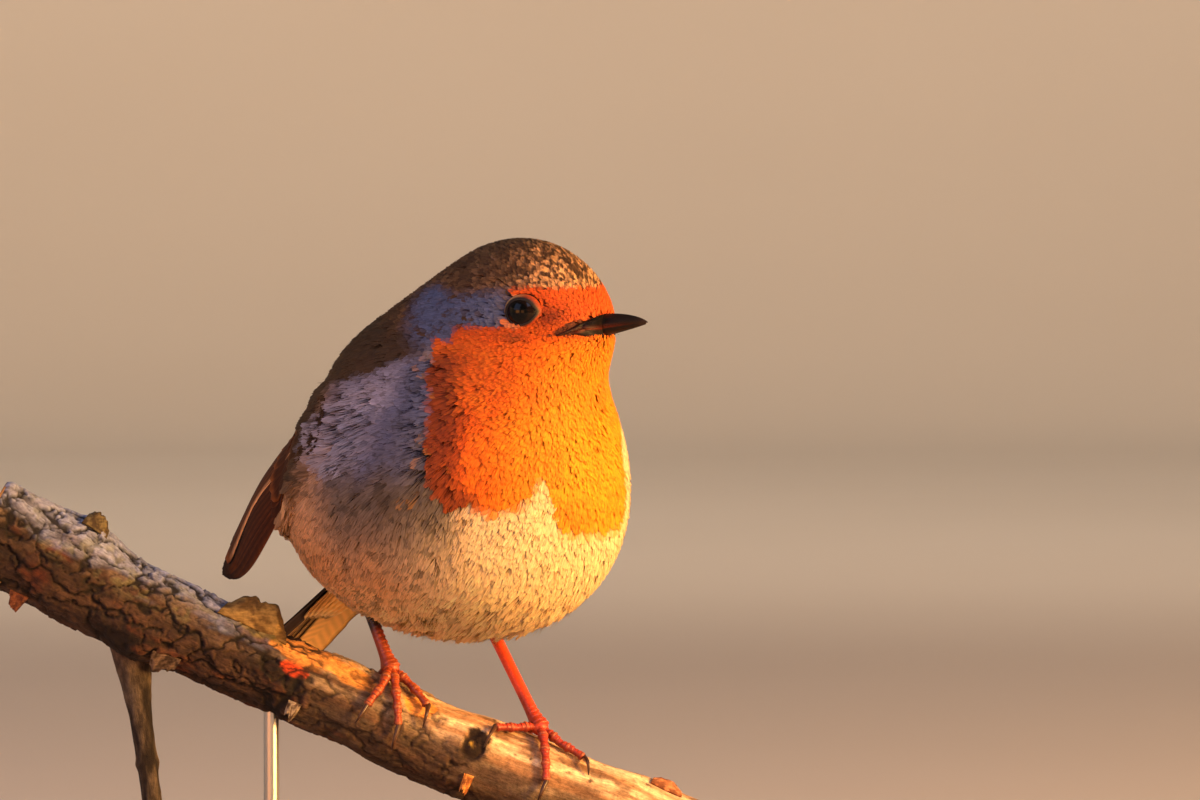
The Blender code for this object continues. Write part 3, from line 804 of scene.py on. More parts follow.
    def eye_ring(self, points: np.ndarray) -> np.ndarray:
        """The thin pale ring of feathers round each eye, widest behind it.

        Args:
            points: Places in millimetres, one a row.

        Returns:
            The ring's share in each place, from 0 to 1.
        """
        total = np.zeros(len(points))
        ahead = self.body.head_axes()[0]
        for side in Side:
            flat, outer = self.body.beside_eye(points, side)
            reach = np.linalg.norm(flat, axis=1)
            behind = -(flat @ ahead) / (reach + 1e-9)
            near = ramp(0.35, -0.15, reach - (2.8 + 0.8 * ramp(-0.3, 1.0, behind)))
            total = np.maximum(total, near * outer * 0.42 * ramp(-1.0, 0.4, behind))
        return np.clip(total, 0.0, 1.0)


# ---------------------------------------------------------------- how the feathers lie
@dataclass(frozen=True)
class Lie:
    """Feathers spread from the bill's base over the body and gather at the tail."""

    body: BodyShape
    tail_root: tuple[float, float, float] = (0.0, 40.0, 75.0)
    eye_clearance: float = 4.3
    sweep: float = 0.75  # how strongly the sides of the breast are combed back over the wing
    droop: float = 0.7  # how strongly the flanks hang down
    grain: Grain = Grain(33)

    def ways(self, points: np.ndarray, normals: np.ndarray, turn: np.ndarray) -> np.ndarray:
        """The direction in which feathers lie at each point, along the surface.

        Args:
            points: Places on or near the body.
            normals: The way the body's surface faces there.
            turn: The angle by which each strays.

        Returns:
            Directions of length one.
        """
        start = self.body.head_point(12.0, 0.0, -0.5)
        away, home = points - start, np.array(self.tail_root) - points
        way = away / (np.linalg.norm(away, axis=1, keepdims=True) ** 3 + 1e-6)
        way = unit(way + home / np.linalg.norm(home, axis=1, keepdims=True) ** 3)

        side, height = np.abs(self.body.azimuth(points)), points[:, 2]
        neck = ramp(119.0, 111.0, height)
        combed = self.sweep * ramp(36.0, 58.0, side) * ramp(95.0, 104.0, height) * neck
        hanging = self.droop * ramp(20.0, 60.0, side) * ramp(97.0, 88.0, height)
        way = way + combed[:, None] * np.array((0.0, 1.0, 0.15))
        way = way - hanging[:, None] * np.array((0.0, 0.0, 1.0))
        for eye_side in Side:
            flat, outer = self.body.beside_eye(points, eye_side)
            reach = np.linalg.norm(flat, axis=1, keepdims=True)
            facing = np.maximum(-np.sum(way * flat / (reach + 1e-9), axis=1, keepdims=True), 0.0)
            near = ramp(7.0, self.eye_clearance, reach) * outer[:, None]
            way = way + flat / (reach + 1e-9) * facing * near
        way = unit(way - normals * np.sum(way * normals, axis=1, keepdims=True))
        return unit(way * np.cos(turn)[:, None] + np.cross(normals, way) * np.sin(turn)[:, None])

    def wander(self, points: np.ndarray) -> np.ndarray:
        """The angle by which the feathers rooted at each point stray, alike for near neighbours."""
        return self.grain.layers(points, 6.0, 2) * 0.45 + self.grain.value(points, 1.7) * 0.15


# ---------------------------------------------------------------- finishes
def add_node(
    tree: bpy.types.NodeTree, kind: str, inputs: Optional[dict] = None, **settings: object
) -> bpy.types.Node:
    """Adds a node.

    Args:
        tree: The material's tree.
        kind: The node's type.
        inputs: Values or other nodes' outputs, by socket name or number.
        settings: The node's own options.

    Returns:
        The node.
    """
    node = tree.nodes.new(kind)
    for name, value in settings.items():
        setattr(node, name, value)
    for key, value in (inputs or {}).items():
        if isinstance(value, bpy.types.NodeSocket):
            tree.links.new(value, node.inputs[key])
        else:
            node.inputs[key].default_value = value
    return node


def started(name: str, **sockets: object) -> tuple[bpy.types.Material, bpy.types.NodeTree, bpy.types.Node]:
    """A new material, its tree and its shader.

    Args:
        name: The real material's name.
        sockets: Values for the shader's sockets, with _ for a space.

    Returns:
        The material, its node tree and the Principled shader.
    """
    material = bpy.data.materials.new(name)
    material.use_nodes = True
    shader = material.node_tree.nodes["Principled BSDF"]
    for key, value in sockets.items():
        shader.inputs[key.replace("_", " ")].default_value = value
    return material, material.node_tree, shader


def figured(
    tree: bpy.types.NodeTree, shader: bpy.types.Node, pattern: bpy.types.NodeSocket,
    shades: tuple[float, float, float, float], bump: tuple[float, float],
) -> None:
    """Shades the piece's own colours by a pattern and raises it a little.

    Args:
        tree: The material's tree.
        shader: Its shader.
        pattern: The pattern.
        shades: The pattern's low and high values, and how bright the colours are there.
        bump: How strong the relief is, and its height in metres.
    """
    tone = add_node(tree, "ShaderNodeVertexColor", layer_name="Tone")
    names = ("From Min", "From Max", "To Min", "To Max")
    shade = add_node(tree, "ShaderNodeMapRange", {"Value": pattern, **dict(zip(names, shades))})
    varied = add_node(
        tree, "ShaderNodeVectorMath", {"Vector": tone.outputs["Color"], "Scale": shade.outputs["Result"]},
        operation="SCALE",
    )
    tree.links.new(varied.outputs["Vector"], shader.inputs["Base Color"])
    raised(tree, shader, pattern, bump)


def tinted(
    tree: bpy.types.NodeTree, shader: bpy.types.Node, pattern: bpy.types.NodeSocket, colours: tuple[str, str]
) -> None:
    """Goes from one colour to another by a pattern.

    Args:
        tree: The material's node tree.
        shader: Its surface node.
        pattern: The socket that gives the pattern, from 0 to 1.
        colours: Both colours, as hex codes.
    """
    inputs = {0: pattern, 6: rgba(colours[0]), 7: rgba(colours[1])}
    tint = add_node(tree, "ShaderNodeMix", inputs, data_type="RGBA")
    tree.links.new(tint.outputs[2], shader.inputs["Base Color"])


def raised(
    tree: bpy.types.NodeTree, shader: bpy.types.Node, pattern: bpy.types.NodeSocket,
    bump: tuple[float, float],
) -> None:
    """Raises the surface by a pattern: the relief's strength, and its height in metres."""
    relief = add_node(tree, "ShaderNodeBump", {"Height": pattern, "Strength": bump[0], "Distance": bump[1]})
    tree.links.new(relief.outputs["Normal"], shader.inputs["Normal"])


@dataclass(frozen=True)
class PlumageFinish:
    """Loose keratin barbs: matt and soft, drawn as fine streaks along each feather."""

    name: str = "feather_keratin_loose"
    roughness: float = 0.7
    barb: float = 0.30  # millimetres between barbs, drawn three times as coarse as real so that they show
    contrast: float = 0.26

    def make(self) -> bpy.types.Material:
        """Makes the material; its streaks follow the piece's Vane map, which is in units of 10 mm.

        Returns:
            The material.
        """
        made, tree, shader = started(
            self.name, Roughness=self.roughness, IOR=1.38, Subsurface_Weight=0.35,
            Subsurface_Radius=(1.0, 0.6, 0.4), Subsurface_Scale=0.0012,
        )
        spot = add_node(tree, "ShaderNodeUVMap", uv_map="Vane")
        long = add_node(tree, "ShaderNodeMapping", {"Vector": spot.outputs["UV"], "Scale": (0.07, 1.0, 1.0)})
        streak = add_node(
            tree, "ShaderNodeTexNoise",
            {"Vector": long.outputs["Vector"], "Scale": 10.0 / self.barb, "Detail": 1.0},
        )
        shades = (0.3, 0.7, 1.0 - self.contrast, 1.0 + self.contrast)
        figured(tree, shader, streak.outputs["Fac"], shades, (0.5, 0.0001))
        return made


# ---------------------------------------------------------------- skin and coat
@dataclass
class Skin:
    """The one skin under the plumage of head, neck and trunk, sunk by the coat's depth."""

    body: BodyShape
    markings: Markings
    round_steps: int = 300
    high_steps: int = 176
    places: np.ndarray = field(init=False)
    normals: np.ndarray = field(init=False)
    triangles: np.ndarray = field(init=False)
    unwrapped: np.ndarray = field(init=False)

    def __post_init__(self) -> None:
        """Swells a sphere out to the coat and sinks it."""
        bm = bmesh.new()
        bmesh.ops.create_uvsphere(
            bm, u_segments=self.round_steps, v_segments=self.high_steps, radius=1.0
        )
        sphere = Template.taken_from(bm)
        ways = unit(sphere.corners)
        rise = ramp(-0.2, 0.8, ways[:, 2])[:, None]
        core, head = np.array(self.body.trunk_core), np.array(self.body.head_centre)
        surface = self.body.out_from(core + (head - core) * rise, ways)
        self.places = self.body.settle(surface, -self.coat_depth(surface), 3)
        self.normals = unit(self.body.slope(self.places)[1])
        self.triangles = sphere.triangles
        self.unwrapped = self.unrolled(ways)

    def unrolled(self, ways: np.ndarray) -> np.ndarray:
        """The sphere's own map for each corner of each face, closed up at its seam.

        Args:
            ways: The direction of each vertex from the sphere's centre, at length one.

        Returns:
            Three places on the map for each face.
        """
        across = np.arctan2(ways[:, 1], ways[:, 0]) / math.tau + 0.5
        up = np.arcsin(np.clip(ways[:, 2], -1.0, 1.0)) / math.pi + 0.5
        spots = np.stack((across, up), axis=1)[self.triangles]
        over_seam = np.ptp(spots[:, :, 0], axis=1) > 0.5
        spots[over_seam, :, 0] += spots[over_seam, :, 0] < 0.5
        return np.clip(spots, 0.0, 1.0)

    def coat_depth(self, points: np.ndarray) -> np.ndarray:
        """How deep the coat is: thin on the face, thick on the body."""
        return np.clip(0.3 + 0.055 * self.body.bill_distance(points), 0.45, 2.9)

    def dress(self, model: Model, finish: bpy.types.Material) -> None:
        """Makes the skin's mesh with the coat's markings, a little darker as painted shade under the
        feathers.

        Args:
            model: The model that takes the pieces.
            finish: The plumage's material.
        """
        mesh = mesh_of("skin", self.places, self.triangles)
        # Painted shade: the skin takes the markings darkened, as the shade under the feathers.
        paint(mesh, self.markings.colours(self.places, self.normals) * 0.75)
        unwrap(mesh, "OFBake", self.unwrapped)
        unwrap(mesh, "Vane", self.unwrapped * np.array((17.0, 9.0)))
        model.add(mesh, finish, "plumage_flank", ("head", "neck", "trunk"))


@dataclass(frozen=True)
class TuftStyle:
    """One kind of small feather, in its natural size: a soft comb of barbs, or a loose tuft of them."""

    length: float
    barbs: int
    width: float  # half the comb's width, or how far a loose tuft fans out
    barb: float  # a barb's thickness
    loose: float  # how unevenly the tips stand, in millimetres
    notch: float = 0.72  # where along a comb its barbs come apart

    def comb(self, seed: int) -> Template:
        """A thin lens of barbs that are joined at the base and free at the tips.

        Args:
            seed: Which of the style's variants this is.

        Returns:
            The template, as (along, across, up) in millimetres.
        """
        rng = np.random.default_rng(seed)
        bm = bmesh.new()
        outline = 2 * self.barbs + 4
        bmesh.ops.create_circle(bm, cap_ends=True, cap_tris=True, segments=outline, radius=1.0)
        ring = [vert for vert in bm.verts if vert.co.length > 0.5]
        hub = next(vert for vert in bm.verts if vert.co.length < 0.5)
        ring.sort(key=lambda vert: math.atan2(vert.co.y, vert.co.x) % math.tau)
        edge = [(0.0, 0.0), (0.3, -0.62), (0.58, -0.95)]
        for number in range(2 * self.barbs - 1):
            across = (number + 1.0) / self.barbs - 1.0
            if number % 2:
                edge.append((self.notch + 0.22 * (1.0 - across**2) + rng.uniform(-0.05, 0.05), across))
            else:
                edge.append((1.0 - 0.24 * across**2 + rng.uniform(-0.1, 0.04), across * 0.98))
        edge += [(0.58, 0.95), (0.3, 0.62)]
        for vert, (along, across) in zip(ring, edge):
            wave = rng.uniform(-0.5, 1.0) * self.loose * along**2
            vert.co = (along * self.length, across * self.width, wave - 0.10 * self.width * across**2)
        hub.co = (0.5 * self.length, 0.0, 0.05)
        lower = bmesh.ops.duplicate(bm, geom=bm.verts[:] + bm.edges[:] + bm.faces[:])["geom"]
        flipped = [item for item in lower if isinstance(item, bmesh.types.BMFace)]
        bmesh.ops.reverse_faces(bm, faces=flipped)
        for vert in {vert for face in flipped for vert in face.verts if len(vert.link_faces) > 3}:
            vert.co.z -= 0.08
        bmesh.ops.remove_doubles(bm, verts=bm.verts, dist=1e-5)
        return Template.taken_from(bm)

    def tuft(self, seed: int) -> Template:
        """A few loose barbs that fan out from a root, each a tapering three-sided spike.

        Args:
            seed: Which of the style's variants this is.

        Returns:
            The template, as (along, across, up) in millimetres.
        """
        rng = np.random.default_rng(seed)
        bm = bmesh.new()
        bmesh.ops.create_cone(bm, cap_ends=True, segments=3, radius1=0.5, radius2=0.0, depth=1.0)
        edges = [e for e in bm.edges if abs(e.verts[0].co.z - e.verts[1].co.z) > 0.5]
        bmesh.ops.subdivide_edges(bm, edges=edges, cuts=1)
        for vert in bm.verts:
            share = vert.co.z + 0.5
            full = 1.5 if 0.2 < share < 0.8 else 1.0
            vert.co = (share, vert.co.x * full, vert.co.y * full * 0.45)
        bmesh.ops.recalc_face_normals(bm, faces=bm.faces)
        spike, parts = Template.taken_from(bm), []
        for number in range(self.barbs):
            fan = 2.0 * (number + 0.5) / self.barbs - 1.0 + rng.uniform(-0.15, 0.15)
            long = 1.0 - 0.2 * fan**2 + rng.uniform(-0.15, 0.06)
            share, thick = spike.corners[:, 0], spike.corners[:, 1:] * self.barb
            curl = rng.uniform(-0.12, 0.12) * self.length
            bow = fan * self.width * (0.15 + 0.85 * share**0.8)
            across = bow + curl * share**2 + thick[:, 0]
            up = thick[:, 1] + share**1.5 * rng.uniform(-0.3, 1.0) * self.loose + 0.02 * number
            corners = np.stack((share * long * self.length, across, up), axis=1)
            parts.append(Template(corners, spike.triangles))
        return Template.joined(parts)


@dataclass
class Pile:
    """Gathers arrays of tufts into one mesh."""

    places: list[np.ndarray] = field(default_factory=list)
    triangles: list[np.ndarray] = field(default_factory=list)
    colours: list[np.ndarray] = field(default_factory=list)
    spots: list[np.ndarray] = field(default_factory=list)
    vanes: list[np.ndarray] = field(default_factory=list)
    normals: list[np.ndarray] = field(default_factory=list)
    corners: int = 0

    def lay(
        self, places: np.ndarray, template: Template, normals: np.ndarray, colours: np.ndarray,
        spots: np.ndarray, vanes: np.ndarray,
    ) -> None:
        """Adds many copies of a template: corners, the way they face, colours and places on two maps.

        Args:
            places: The corners of each copy.
            template: The template whose faces they share.
            normals: The way each corner of each copy faces.
            colours: A colour for each corner of each copy.
            spots: A place on the skin's own map for each corner of each copy.
            vanes: A place on the vane's map for each corner of each copy.
        """
        count, size = places.shape[:2]
        starts = self.corners + np.arange(count)[:, None, None] * size
        self.triangles.append((template.triangles[None] + starts).reshape(-1, 3))
        self.places.append(places.reshape(-1, 3))
        self.colours.append(colours.reshape(-1, 3))
        self.spots.append(spots.reshape(-1, 2))
        self.vanes.append(vanes.reshape(-1, 2))
        self.normals.append(normals.reshape(-1, 3))
        self.corners += count * size

    def mesh(self, name: str) -> bpy.types.Mesh:
        """The gathered copies as one painted and unwrapped mesh.

        Args:
            name: The mesh's name.

        Returns:
            The mesh.
        """
        made = mesh_of(name, np.vstack(self.places), np.vstack(self.triangles), np.vstack(self.normals))
        paint(made, np.vstack(self.colours))
        unwrap(made, "OFBake", np.vstack(self.spots))
        unwrap(made, "Vane", np.vstack(self.vanes))
        return made


@dataclass
class Coat:
    """The small feathers that cover the skin, smallest on the face and longest on flank and belly."""

    body: BodyShape
    skin: Skin
    lie: Lie
    markings: Markings
    cover: Cover
    combs: tuple[TuftStyle, ...] = (  # on the face, on the rest of the head, and on the body
        TuftStyle(1.9, 4, 0.42, 0.1, 0.08),
        TuftStyle(3.2, 5, 0.75, 0.1, 0.12),
        TuftStyle(7.4, 7, 1.4, 0.1, 0.2),
    )
    tufts: tuple[TuftStyle, ...] = (
        TuftStyle(2.2, 3, 0.22, 0.09, 0.2),
        TuftStyle(3.8, 4, 0.45, 0.11, 0.3),
        TuftStyle(8.4, 5, 1.2, 0.15, 0.5),
    )
    loose_share: float = 0.22  # how many of the feathers are loose tufts
    face_reach: float = 12.0
    head_reach: float = 27.0
    rounding: float = 0.18  # how round each feather looks across
    variants: int = 6
    steps: int = 5
    shown: int = 3  # the step at which a feather lies clear of its neighbours and takes its colour
    patch: float = 0.003
    seed: int = 11

    def density(self, points: np.ndarray) -> np.ndarray:
        """Feathers for each square millimetre.

        Args:
            points: Places in millimetres, one a row.

        Returns:
            The number at each place.
        """
        reach = self.body.bill_distance(points)
        thick = 1.85 + 9.5 * np.exp(-(reach - 4.0) / 9.0)
        return thick * (1.0 - 0.7 * self.cover.share(points))

    def length(self, points: np.ndarray) -> np.ndarray:
        """How long the feathers are, in millimetres.

        Args:
            points: Places in millimetres, one a row.

        Returns:
            The length at each place.
        """
        reach = self.body.bill_distance(points)
        grown = np.clip(0.75 + 0.165 * reach, 1.3, 8.2)
        on_head = ramp(-2.0, 3.0, self.body.above_head_plane(points))
        grown = grown * (1.0 - 0.22 * on_head * ramp(10.0, 20.0, reach))
        for side in Side:
            reach = np.linalg.norm(points - self.body.eye_frame(side)[0], axis=1)
            grown = grown * (0.74 + 0.26 * ramp(4.4, 7.0, reach))
        return grown + 3.6 * self.markings.frayed(points) + 1.5 * self.markings.border(points)

    def roots(self) -> tuple[np.ndarray, np.ndarray]:
        """Where the tufts grow: places on the skin and on its map, evenly spread.

        Returns:
            Places and map places, clear of eyes and bill.
        """
        corners = self.skin.places[self.skin.triangles]
        sides = corners[:, 1:] - corners[:, :1]
        area = np.linalg.norm(np.cross(sides[:, 0], sides[:, 1]), axis=1) / 2.0
        wanted = np.cumsum(area * self.density(corners.mean(axis=1)))
        rng = np.random.default_rng(self.seed)
        count = int(wanted[-1])
        marks = (np.arange(count) + rng.random(count)) * wanted[-1] / count
        face = np.minimum(np.searchsorted(wanted, marks), len(wanted) - 1)
        share = rng.random((count, 2))
        folded = share.sum(axis=1) > 1.0
        share[folded] = 1.0 - share[folded]
        places = corners[face, 0] + np.einsum("nk,nkc->nc", share, sides[face])
        spots = self.skin.unwrapped[face]
        spots = spots[:, 0] + np.einsum("nk,nkc->nc", share, spots[:, 1:] - spots[:, :1])
        kept = self.clear(places)
        return places[kept], spots[kept]

    def clear(self, places: np.ndarray) -> np.ndarray:
        """Whether each place is clear of the eyes and of the bill.

        Args:
            places: Places in millimetres, one a row.

        Returns:
            True where it is clear.
        """
        forward, side, up = self.body.head_terms(places).T
        kept = ~((forward > 14.6) & (np.abs(side) < 2.0) & (up > -1.9) & (up < 1.5))
        kept &= ~Bill(self.body).bare(forward, up)
        for eye_side in Side:
            centre, outward = self.body.eye_frame(eye_side)
            local = places - centre
            ahead = local @ self.body.head_axes()[0]
            power = np.where(ahead > 0.0, 1.35, 2.0)
            across = np.abs(ahead / 2.85) ** power + np.abs(local[:, 2] / 2.36) ** power
            kept &= (across > 1.0) | (local @ outward < 0.0)
        return kept

    def routes(
        self, roots: np.ndarray, lengths: np.ndarray, lift: np.ndarray
    ) -> tuple[np.ndarray, np.ndarray]:
        """Walks each tuft's middle line from the skin out to the coat's surface.

        Args:
            roots: Where the tufts grow.
            lengths: How long each is.
            lift: How far each tip stands above the surface.

        Returns:
            Points and normals, tuft by step.
        """
        sunk = self.skin.coat_depth(roots)
        turn = self.lie.wander(roots)
        outside = 1.0 - self.cover.share(roots)
        points, path, facing = roots, [roots], []
        normals = unit(self.body.slope(points)[1])
        facing.append(normals)
        for step in range(1, self.steps + 1):
            share = step / self.steps
            way = self.lie.ways(points, normals, turn)
            moved = points + way * (lengths / self.steps)[:, None]
            wanted = -sunk * (1.0 - share**0.75) + lift * share**2
            over = self.cover.height(moved) * outside + lift * share**2
            wanted = np.maximum(wanted, over - 1.2 * (1.0 - share))
            points = self.body.settle(moved, wanted, 1)
            normals = unit(self.body.slope(points)[1])
            path.append(points)
            facing.append(normals)
        return np.stack(path, axis=1), np.stack(facing, axis=1)

    def bend(
        self, template: Template, style: TuftStyle, scale: np.ndarray, path: np.ndarray, facing: np.ndarray
    ) -> tuple[np.ndarray, np.ndarray]:
        """Bends a copy of the template along each route.

        Args:
            template: The feather in its natural size.
            style: The kind it is of.
            scale: Each copy's size.
            path: Points, feather by step.
            facing: Normals, feather by step.

        Returns:
            Corners, and the way each faces: softly rounded, as the body below it.
        """
        along = np.clip(template.corners[:, 0] / style.length, 0.0, 1.0) * self.steps
        index = np.minimum(along.astype(int), self.steps - 1)
        part = (along - index)[None, :, None]
        middle = path[:, index] * (1.0 - part) + path[:, index + 1] * part
        normal = unit(facing[:, index] * (1.0 - part) + facing[:, index + 1] * part)
        ahead = unit(path[:, index + 1] - path[:, index])
        across = np.cross(normal, ahead)
        sideways = template.corners[None, :, 1, None] * scale[:, None, None]
        upward = template.corners[None, :, 2, None] * scale[:, None, None]
        rounded = unit(normal + across * self.rounding * sideways / style.width)
        return middle + across * sideways + normal * upward, rounded

    def tones(
        self, path: np.ndarray, facing: np.ndarray, along: np.ndarray, rng: np.random.Generator
    ) -> np.ndarray:
        """The colour of each corner: the markings, a little darker at the root as painted shade under the
        feathers above, and paler at the tip.

        Args:
            path: Points, feather by step.
            facing: Normals, feather by step.
            along: Each corner's share of the feather's length.
            rng: The source of each feather's own shade.

        Returns:
            Linear colours, feather by corner by three.
        """
        spot, normal = path[:, self.shown], facing[:, self.shown]
        marks = self.markings
        colour = marks.colours(spot, normal)
        side = np.abs(self.body.azimuth(spot))
        streaky = ramp(38.0, 56.0, side) * ramp(120.0, 112.0, spot[:, 2]) * (1.0 - marks.orange_share(spot))
        dark = (rng.random(len(path)) < 0.16 * streaky)[:, None]
        colour = np.where(dark, colour * 0.58 + linear(marks.flank_dark) * 0.2, colour)
        colour = colour * (1.0 + rng.uniform(-0.09, 0.09, (len(path), 1)))
        # Painted shade: each feather is darker toward its root, where the feathers above it would shade it.
        shade = (0.9 + 0.1 * ramp(0.05, 0.5, along)) * (1.0 + 0.1 * ramp(0.6, 1.0, along))
        shaded = colour[:, None] * shade[None, :, None]
        outer = ramp(0.45, 0.85, along)[None]
        shaded = mixed(shaded, marks.ash_pale, 0.8 * marks.frayed(path[:, 0])[:, None] * outer)
        golden = marks.border(path[:, 0]) * (rng.random(len(path)) < 0.05)
        return mixed(shaded, "F0A048", 0.45 * golden[:, None] * outer)

    def region(self, roots: np.ndarray) -> np.ndarray:
        """The name of the part of the plumage that each root is in.

        Args:
            roots: The feathers' roots, one a row.

        Returns:
            The names.
        """
        forward, side, up = self.body.head_terms(roots).T
        azimuth, height = self.body.azimuth(roots), roots[:, 2]
        named = np.full(len(roots), "belly", dtype=object)
        turned = np.abs(azimuth)
        named[(turned < 60.0) & (height > 90.0)] = "breast"
        named[(turned >= 60.0) & (azimuth < 0.0)] = "flank_right"
        named[(turned >= 60.0) & (azimuth > 0.0)] = "flank_left"
        named[(turned > 118.0) & (height > 84.0)] = "mantle"
        on_head = self.body.above_head_plane(roots) > 0.0
        near = self.body.bill_distance(roots) < self.face_reach
        named[on_head & (up >= 0.0)] = "crown"
        named[on_head & (up < 0.0)] = "cheeks"
        named[on_head & near] = "face"
        return named

    def dress(self, model: Model, finish: bpy.types.Material) -> None:
        """Grows all feathers and adds them as one piece for each part of the plumage.

        Args:
            model: The model that takes the pieces.
            finish: The plumage's material.
        """
        roots, spots = self.roots()
        rng = np.random.default_rng(self.seed + 1)
        lengths = self.length(roots) * rng.uniform(0.82, 1.18, len(roots))
        hanging = ramp(80.0, 66.0, roots[:, 2])
        astray = 0.3 * hanging + 0.35 * self.markings.border(roots) + 0.3 * self.markings.frayed(roots)
        loose = rng.random(len(roots)) < self.loose_share + astray
        lift = rng.random(len(roots)) ** 4 * (0.2 + 2.2 * hanging + 0.5 * astray) * lengths / 8.0
        lift = np.where(loose, lift + 0.1, lift * 0.5) * (1.0 - 0.6 * self.markings.orange_share(roots))
        path, facing = self.routes(roots, lengths, lift)
        reach = self.body.bill_distance(roots)
        band = (reach > self.face_reach).astype(int) + (reach > self.head_reach)
        piles: dict[str, Pile] = {}
        region = self.region(roots)
        kind = rng.integers(0, self.variants, len(roots))
        for number in range(3 * 2 * self.variants):
            level, is_loose, variant = number % 3, number // 3 % 2, number // 6
            style = (self.tufts if is_loose else self.combs)[level]
            template = (style.tuft if is_loose else style.comb)(100 * number + style.barbs)
            mine = (band == level) & (loose == bool(is_loose)) & (kind == variant)
            along = np.clip(template.corners[:, 0] / style.length, 0.0, 1.0)
            patch = template.corners[:, 1::-1] / (2.0 * style.width, style.length) - (0.0, 0.5)
            patch = self.patch * np.clip(patch, -0.5, 0.5)[None]
            for name in np.unique(region[mine]):
                chosen = np.flatnonzero(mine & (region == name))
                scale = np.clip(lengths[chosen] / style.length, 0.7, 1.25)
                places, normals = self.bend(template, style, scale, path[chosen], facing[chosen])
                tones = self.tones(path[chosen], facing[chosen], along, rng)
                spot = np.clip(spots[chosen][:, None] + patch, 0.0, 1.0)
                shift = rng.uniform(0.0, 50.0, (len(chosen), 1, 2))
                vane = template.corners[None, :, :2] / 10.0 + shift
                piles.setdefault(name, Pile()).lay(places, template, normals, tones, spot, vane)
        slots = dict.fromkeys(("face", "crown", "cheeks"), "plumage_head") | {"breast": "plumage_breast"}
        for name, pile in sorted(piles.items()):
            slot = slots.get(name, "plumage_flank")
            model.add(pile.mesh(f"coat_{name}"), finish, slot)


# ---------------------------------------------------------------- eyes and bill
@dataclass(frozen=True)
class EyeFinish:
    """A wet, clear cornea over a nearly black iris: mirror-bright, with hardly any colour."""

    name: str = "cornea_over_iris"

    def make(self) -> bpy.types.Material:
        """Makes the material; its colours are the eyeball's own.

        Returns:
            The material.
        """
        made, tree, shader = started(self.name, Roughness=0.1, IOR=1.36, Specular_IOR_Level=0.35)
        tone = add_node(tree, "ShaderNodeVertexColor", layer_name="Tone")
        tree.links.new(tone.outputs["Color"], shader.inputs["Base Color"])
        return made


@dataclass(frozen=True)
class SkinFinish:
    """Bare, finely wrinkled skin: matt, with a slight moist light on its folds."""

    name: str = "bare_skin_wrinkled"
    wrinkle: float = 0.18  # millimetres between wrinkles

    def make(self) -> bpy.types.Material:
        """Makes the material; its colours are the piece's own.

        Returns:
            The material.
        """
        made, tree, shader = started(self.name, Roughness=0.6, IOR=1.45)
        place = add_node(tree, "ShaderNodeTexCoord")
        cells = add_node(
            tree, "ShaderNodeTexVoronoi",
            {"Vector": place.outputs["Object"], "Scale": 1.0 / (self.wrinkle * MM)},
        )
        figured(tree, shader, cells.outputs["Distance"], (0.0, 0.8, 1.0, 0.85), (0.4, 0.00004))
        return made


